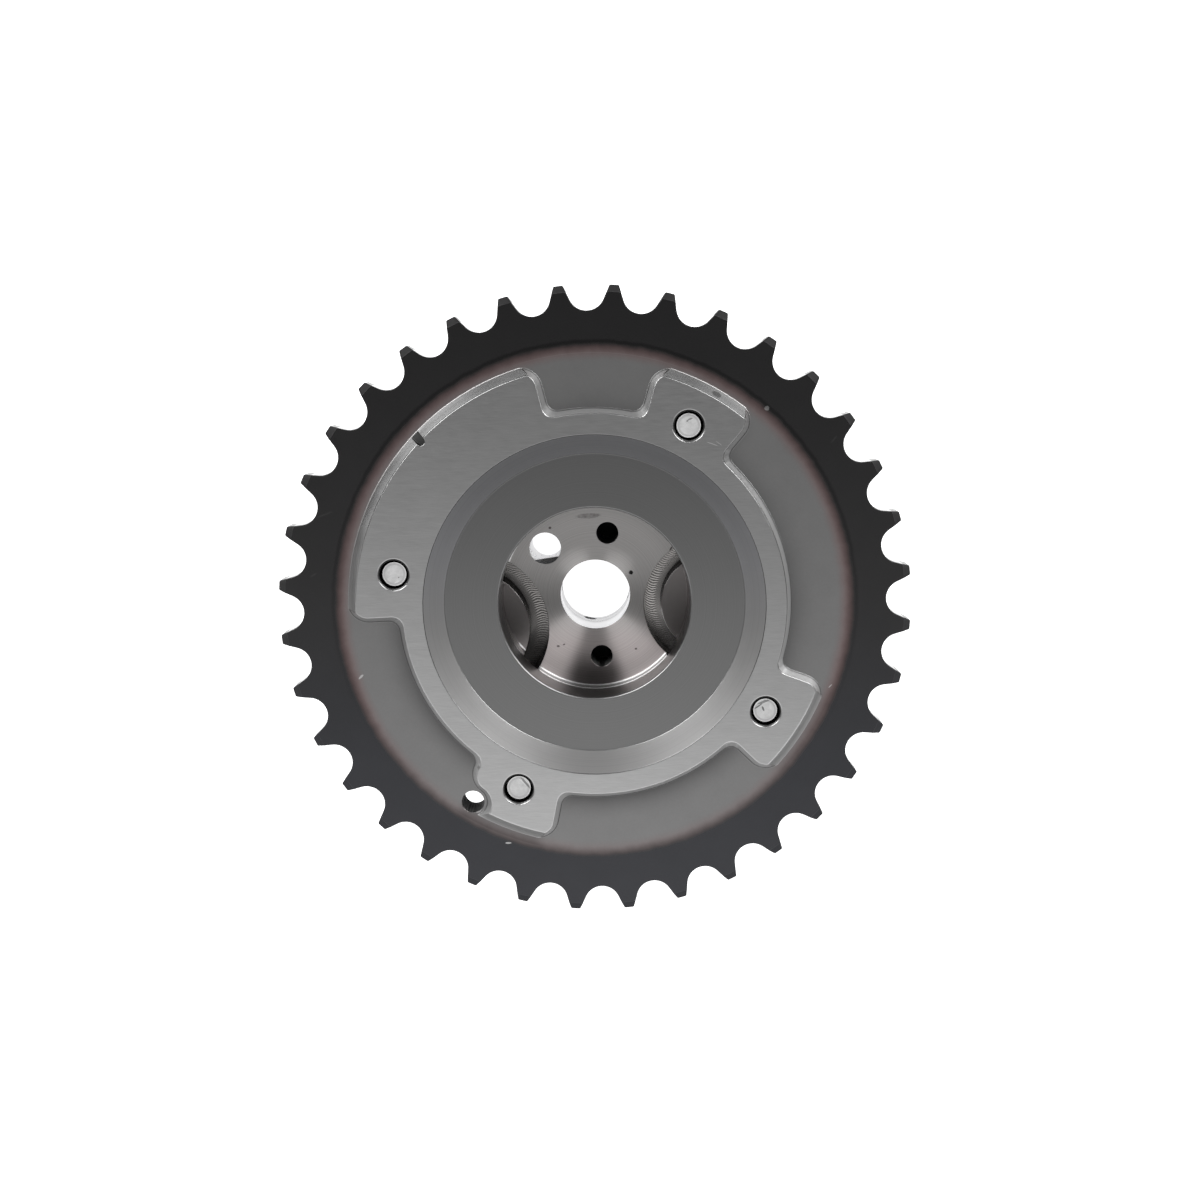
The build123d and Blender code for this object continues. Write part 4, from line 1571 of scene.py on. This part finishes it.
@dataclass
class CoverBolts:
    """The four flanged bolts that hold the housing together."""

    body: Body = Body.HOUSING
    shank_radius: float = 2.5
    tip_chamfer: float = 0.4
    flange_radius: float = 4.6
    flange_thickness: float = 1.2
    flange_round: float = 0.35
    across_flats: float = 7.0
    head_height: float = 4.8
    corner_round: float = 0.15
    sunk_in_flange: float = 0.05
    dish_radius: float = 2.4
    dish_depth: float = 0.5
    crown_land: float = 0.1
    crown_angle: float = 30.0
    hexagon_sides: int = 6
    finish: MachinedMetal = MachinedMetal("oiled_bolt_steel", grey(0.04), roughness=0.34, pitch=0.35)
    tip_finish: CutTip = CutTip()

    def shank(self, low: float, high: float) -> bpy.types.Object:
        """Shank and flange, with a chamfered tip.

        Args:
            low: level of the flange's free side.
            high: level of the tip.

        Returns:
            The piece, standing on the axis.
        """
        deselect_all()
        bpy.ops.mesh.primitive_cylinder_add(
            vertices=CIRCLE_POINTS,
            radius=self.shank_radius * MM,
            depth=(high - low - self.flange_thickness) * MM,
            location=(0, 0, (high + low + self.flange_thickness) / 2 * MM),
        )
        piece = bpy.context.object
        bpy.ops.object.transform_apply(location=True)
        seat = (low + self.flange_thickness) * MM
        with editing(piece, "EDGE"):
            pick(piece, lambda e: all(v.co.z > high * MM - TINY for v in e.verts), "edges")
            bpy.ops.mesh.bevel(offset=self.tip_chamfer * MM, segments=1)
            bpy.ops.mesh.select_mode(type="FACE")
            pick(piece, lambda f: f.normal.z < -FLAT)
            bpy.ops.mesh.inset(thickness=0)
            bpy.ops.mesh.extrude_region_move()
            spread = self.flange_radius / self.shank_radius
            bpy.ops.transform.resize(value=(spread, spread, 1.0), center_override=(0, 0, seat))
            down = {"value": (0, 0, -self.flange_thickness * MM)}
            bpy.ops.mesh.extrude_region_move(TRANSFORM_OT_translate=down)
            rim = self.flange_radius * MM - TINY
            seat -= TINY
            pick(piece, lambda e: all(v.co.xy.length > rim and v.co.z < seat for v in e.verts), "edges")
            bpy.ops.mesh.bevel(offset=self.flange_round * MM, segments=3, profile=0.5)
        return piece

    def head(self, low: float, high: float) -> bpy.types.Object:
        """Hexagon with a turned crown and a dish in its end.

        Args:
            low: level of the head's end.
            high: level where it meets the flange.

        Returns:
            The piece, standing on the axis.
        """
        deselect_all()
        corner = self.across_flats / 2 / math.cos(math.pi / self.hexagon_sides)
        bpy.ops.mesh.primitive_cylinder_add(
            vertices=self.hexagon_sides,
            radius=corner * MM,
            depth=(high - low) * MM,
            location=(0, 0, (high + low) / 2 * MM),
        )
        piece = bpy.context.object
        bpy.ops.object.transform_apply(location=True)
        apply_modifier(
            piece,
            "BEVEL",
            width=self.corner_round * MM,
            segments=2,
            limit_method="ANGLE",
            angle_limit=CORNER,
        )
        crown = self.crown(low, high)
        apply_modifier(piece, "BOOLEAN", operation="INTERSECT", object=crown, solver="EXACT")
        bpy.data.objects.remove(crown)
        return piece

    def crown(self, low: float, high: float) -> bpy.types.Object:
        """Turned cone with a dish in its end, which rounds the head's corners off.

        Args:
            low: level of the head's end.
            high: level where the head meets the flange.

        Returns:
            The cone, standing on the axis.
        """
        deselect_all()
        end_radius = self.across_flats / 2 - self.crown_land
        spread = (high - low) / math.tan(math.radians(self.crown_angle))
        bpy.ops.mesh.primitive_cone_add(
            vertices=CIRCLE_POINTS,
            radius1=end_radius * MM,
            radius2=(end_radius + spread) * MM,
            depth=(high - low) * MM,
            location=(0, 0, (high + low) / 2 * MM),
        )
        cone = bpy.context.object
        bpy.ops.object.transform_apply(location=True)
        with editing(cone):
            pick(cone, lambda f: f.normal.z < -FLAT)
            bpy.ops.mesh.inset(thickness=(end_radius - self.dish_radius) * MM)
            bpy.ops.mesh.inset(thickness=self.dish_depth / 2 * MM, depth=-self.dish_depth * MM)
        return cone

    def pattern(self) -> bpy.types.Object:
        """One bolt on the axis, dressed, from which the others are copied.

        Returns:
            The bolt.
        """
        low, high = bottom_of(BOLTS[0]), top_of(BOLTS[0])
        join = low + self.head_height - self.flange_thickness
        shank = self.shank(join, high)
        head = self.head(low, join + self.sunk_in_flange)
        deselect_all()
        head.select_set(True)
        shank.select_set(True)
        bpy.context.view_layer.objects.active = shank
        bpy.ops.object.join()
        smooth(shank)
        dress(shank, self.finish.material())
        shank.data.materials.append(self.tip_finish.material())
        highest = max(vertex.co.z for vertex in shank.data.vertices)
        for face in shank.data.polygons:
            face.material_index = int(face.normal.z > FLAT and face.center.z > highest - TINY)
        return shank

    def build(self) -> None:
        """Models the bolt once and puts a copy with its own mesh at each place."""
        pattern = self.pattern()
        for node in BOLTS:
            place = middle_of(node)
            piece = bpy.data.objects.new(f"{node}_finished", pattern.data.copy())
            bpy.context.scene.collection.objects.link(piece)
            turn = Matrix.Rotation(math.atan2(place.y, place.x), 4, "Z")
            piece.data.transform(Matrix.Translation((place.x * MM, place.y * MM, 0)) @ turn)
            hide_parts(node)
            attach(piece, self.body.value)
            report(piece)
        bpy.data.objects.remove(pattern)


# Studio


@dataclass(frozen=True)
class SoftBox:
    """A large area lamp that looks at the part.

    The place is given by its direction from the part, in degrees, and its distance and size in
    millimetres.
    """

    name: str
    azimuth: float
    elevation: float
    width: float
    length: float
    power: float
    distance: float = 700.0

    def build(self) -> None:
        """Adds the lamp."""
        light = bpy.data.lights.new(self.name, "AREA")
        light.shape = "RECTANGLE"
        light.size = self.width * MM
        light.size_y = self.length * MM
        light.energy = self.power
        lamp = bpy.data.objects.new(self.name, light)
        turn, rise = math.radians(self.azimuth), math.radians(self.elevation)
        away = Vector((math.cos(turn) * math.cos(rise), math.sin(turn) * math.cos(rise), math.sin(rise)))
        lamp.location = away * self.distance * MM
        lamp.rotation_euler = away.to_track_quat("Z", "Y").to_euler()
        bpy.context.scene.collection.objects.link(lamp)


@dataclass(frozen=True)
class Studio:
    """Pale lit floor, soft surroundings, lamps and the camera.

    The camera's tilt and roll are in radians, and it looks at the part from the side the
    camshaft enters. The edges of the surroundings are angles from the back and from the top.
    """

    camera_distance: float = 312.0
    camera_tilt: float = 0.1503
    camera_roll: float = -0.0089
    camera_offset: tuple[float, float] = (0.9719, 0.9454)
    focal_length: float = 52.99
    sensor_width: float = 36.0
    nearest: float = 10.0
    floor_size: float = 6000.0
    floor_glow: float = 1.0
    back_glow: float = 0.1
    front_glow: float = 1.5
    horizon_glow: float = 0.5
    front_edge: tuple[float, float] = (88.0, 118.0)
    horizon_edge: tuple[float, float] = (50.0, 85.0)
    lamps: tuple[SoftBox, ...] = (
        SoftBox("lamp_upper_left", 132.0, 42.0, width=400.0, length=350.0, power=3.3),
        SoftBox("lamp_upper_right", 46.5, 42.0, width=400.0, length=350.0, power=3.3),
        SoftBox("lamp_low_left", 138.0, 7.0, width=280.0, length=130.0, power=0.17),
        SoftBox("lamp_low_right", 48.0, 7.0, width=240.0, length=130.0, power=0.09),
    )

    def floor(self) -> None:
        """Adds the floor that the part lies on."""
        deselect_all()
        level = min(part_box(node)[0].z for node in frame["nodes"])
        bpy.ops.mesh.primitive_plane_add(size=self.floor_size * MM, location=(0, 0, level))
        floor = bpy.context.object
        floor.name = "floor"
        s = Shading("pale_floor", 0.0, 0.6)
        s.set("Base Color", grey(0.86))
        s.set("Emission Color", grey(1.0))
        s.set("Emission Strength", self.floor_glow)
        dress(floor, s.material)

    def surroundings(self) -> None:
        """Lights the part from a ceiling that is brighter in front of the part than behind it."""
        world = bpy.data.worlds.new("soft_room")
        world.use_nodes = True
        world.node_tree.nodes.clear()
        g = Graph(world.node_tree)
        _, y, z = g.parts(g.node("ShaderNodeTexCoord").outputs["Generated"])
        from_back = g.math("DEGREES", g.math("ARCCOSINE", y))
        from_top = g.math("DEGREES", g.math("ARCCOSINE", z))
        shade = g.between(g.window(from_back, *self.front_edge), self.back_glow, self.front_glow)
        shade = g.between(g.window(from_top, *self.horizon_edge), shade, self.horizon_glow)
        background = g.step("ShaderNodeBackground", 0, {"Strength": shade})
        g.feed(g.node("ShaderNodeOutputWorld").inputs["Surface"], background)
        bpy.context.scene.world = world

    def camera(self) -> None:
        """Adds the camera."""
        data = bpy.data.cameras.new("camera")
        data.lens = self.focal_length
        data.sensor_width = self.sensor_width
        data.clip_start = self.nearest * MM
        camera = bpy.data.objects.new("camera", data)
        turn = Matrix.Rotation(-self.camera_tilt, 3, "X") @ Matrix.Rotation(-self.camera_roll, 3, "Y")
        place = turn @ Vector((*self.camera_offset, self.camera_distance))
        place.z += LEVELS.tooth_face
        camera.matrix_world = Matrix.Translation(place * MM) @ turn.to_4x4()
        bpy.context.scene.collection.objects.link(camera)
        bpy.context.scene.camera = camera

    def build(self) -> None:
        """Builds the whole studio."""
        bpy.context.scene.view_settings.view_transform = "Standard"
        self.floor()
        self.surroundings()
        for lamp in self.lamps:
            lamp.build()
        self.camera()
        log.info("studio: %d lamps", len(self.lamps))


def main() -> None:
    """Builds every piece, the studio and the camera, in order."""
    logging.basicConfig(level=logging.INFO, format="%(name)s %(message)s")
    SoftenedNode("sprocket", Body.HOUSING, Slot.SPROCKET, SprocketFinish(), edge=0.12).build()
    corner = RoundEdge(radius=17.05, level=LEVELS.seat, width=0.3)
    register = RoundEdge(radius=17.35, level=LEVELS.rotor_rim, width=0.12)
    SoftenedNode("rotor", Body.ROTOR, Slot.ROTOR, RotorFinish(), rounds=(corner, register)).build()
    alloy = MachinedMetal("housing_alloy", (0.34, 0.34, 0.345), roughness=0.42, pitch=0.3)
    SoftenedNode("stator", Body.HOUSING, Slot.ALLOY, alloy, edge=0.15).build()
    cover = MachinedMetal("cover_steel", (0.25, 0.25, 0.256), roughness=0.36)
    SoftenedNode("front_cover", Body.HOUSING, Slot.COVER, cover, edge=0.15).build()
    CoverBolts().build()
    hard = MachinedMetal("hard_steel", (0.5, 0.5, 0.51), roughness=0.25, pitch=0.1, depth=0.003)
    CarriedNodes(("lock_pin", "lock_pin_plug", "lock_seat_bush", "locating_dowel"), hard).build()
    leaf = MachinedMetal("spring_steel", SPRING_COLOUR, roughness=0.3, pitch=0.1, depth=0.003)
    CarriedNodes((*numbered("vane_seal_spring"), *numbered("web_seal_spring")), leaf).build()
    coil = MachinedMetal("coil_steel", SPRING_COLOUR, roughness=0.3, pitch=0.1, depth=0.003)
    LockPinSpring(coil).build()
    plastic = MouldedPlastic("seal_plastic", (0.03, 0.028, 0.026))
    CarriedNodes((*numbered("vane_seal"), *numbered("web_seal")), plastic).build()
    Studio().build()


if __name__ == "__main__":
    main()
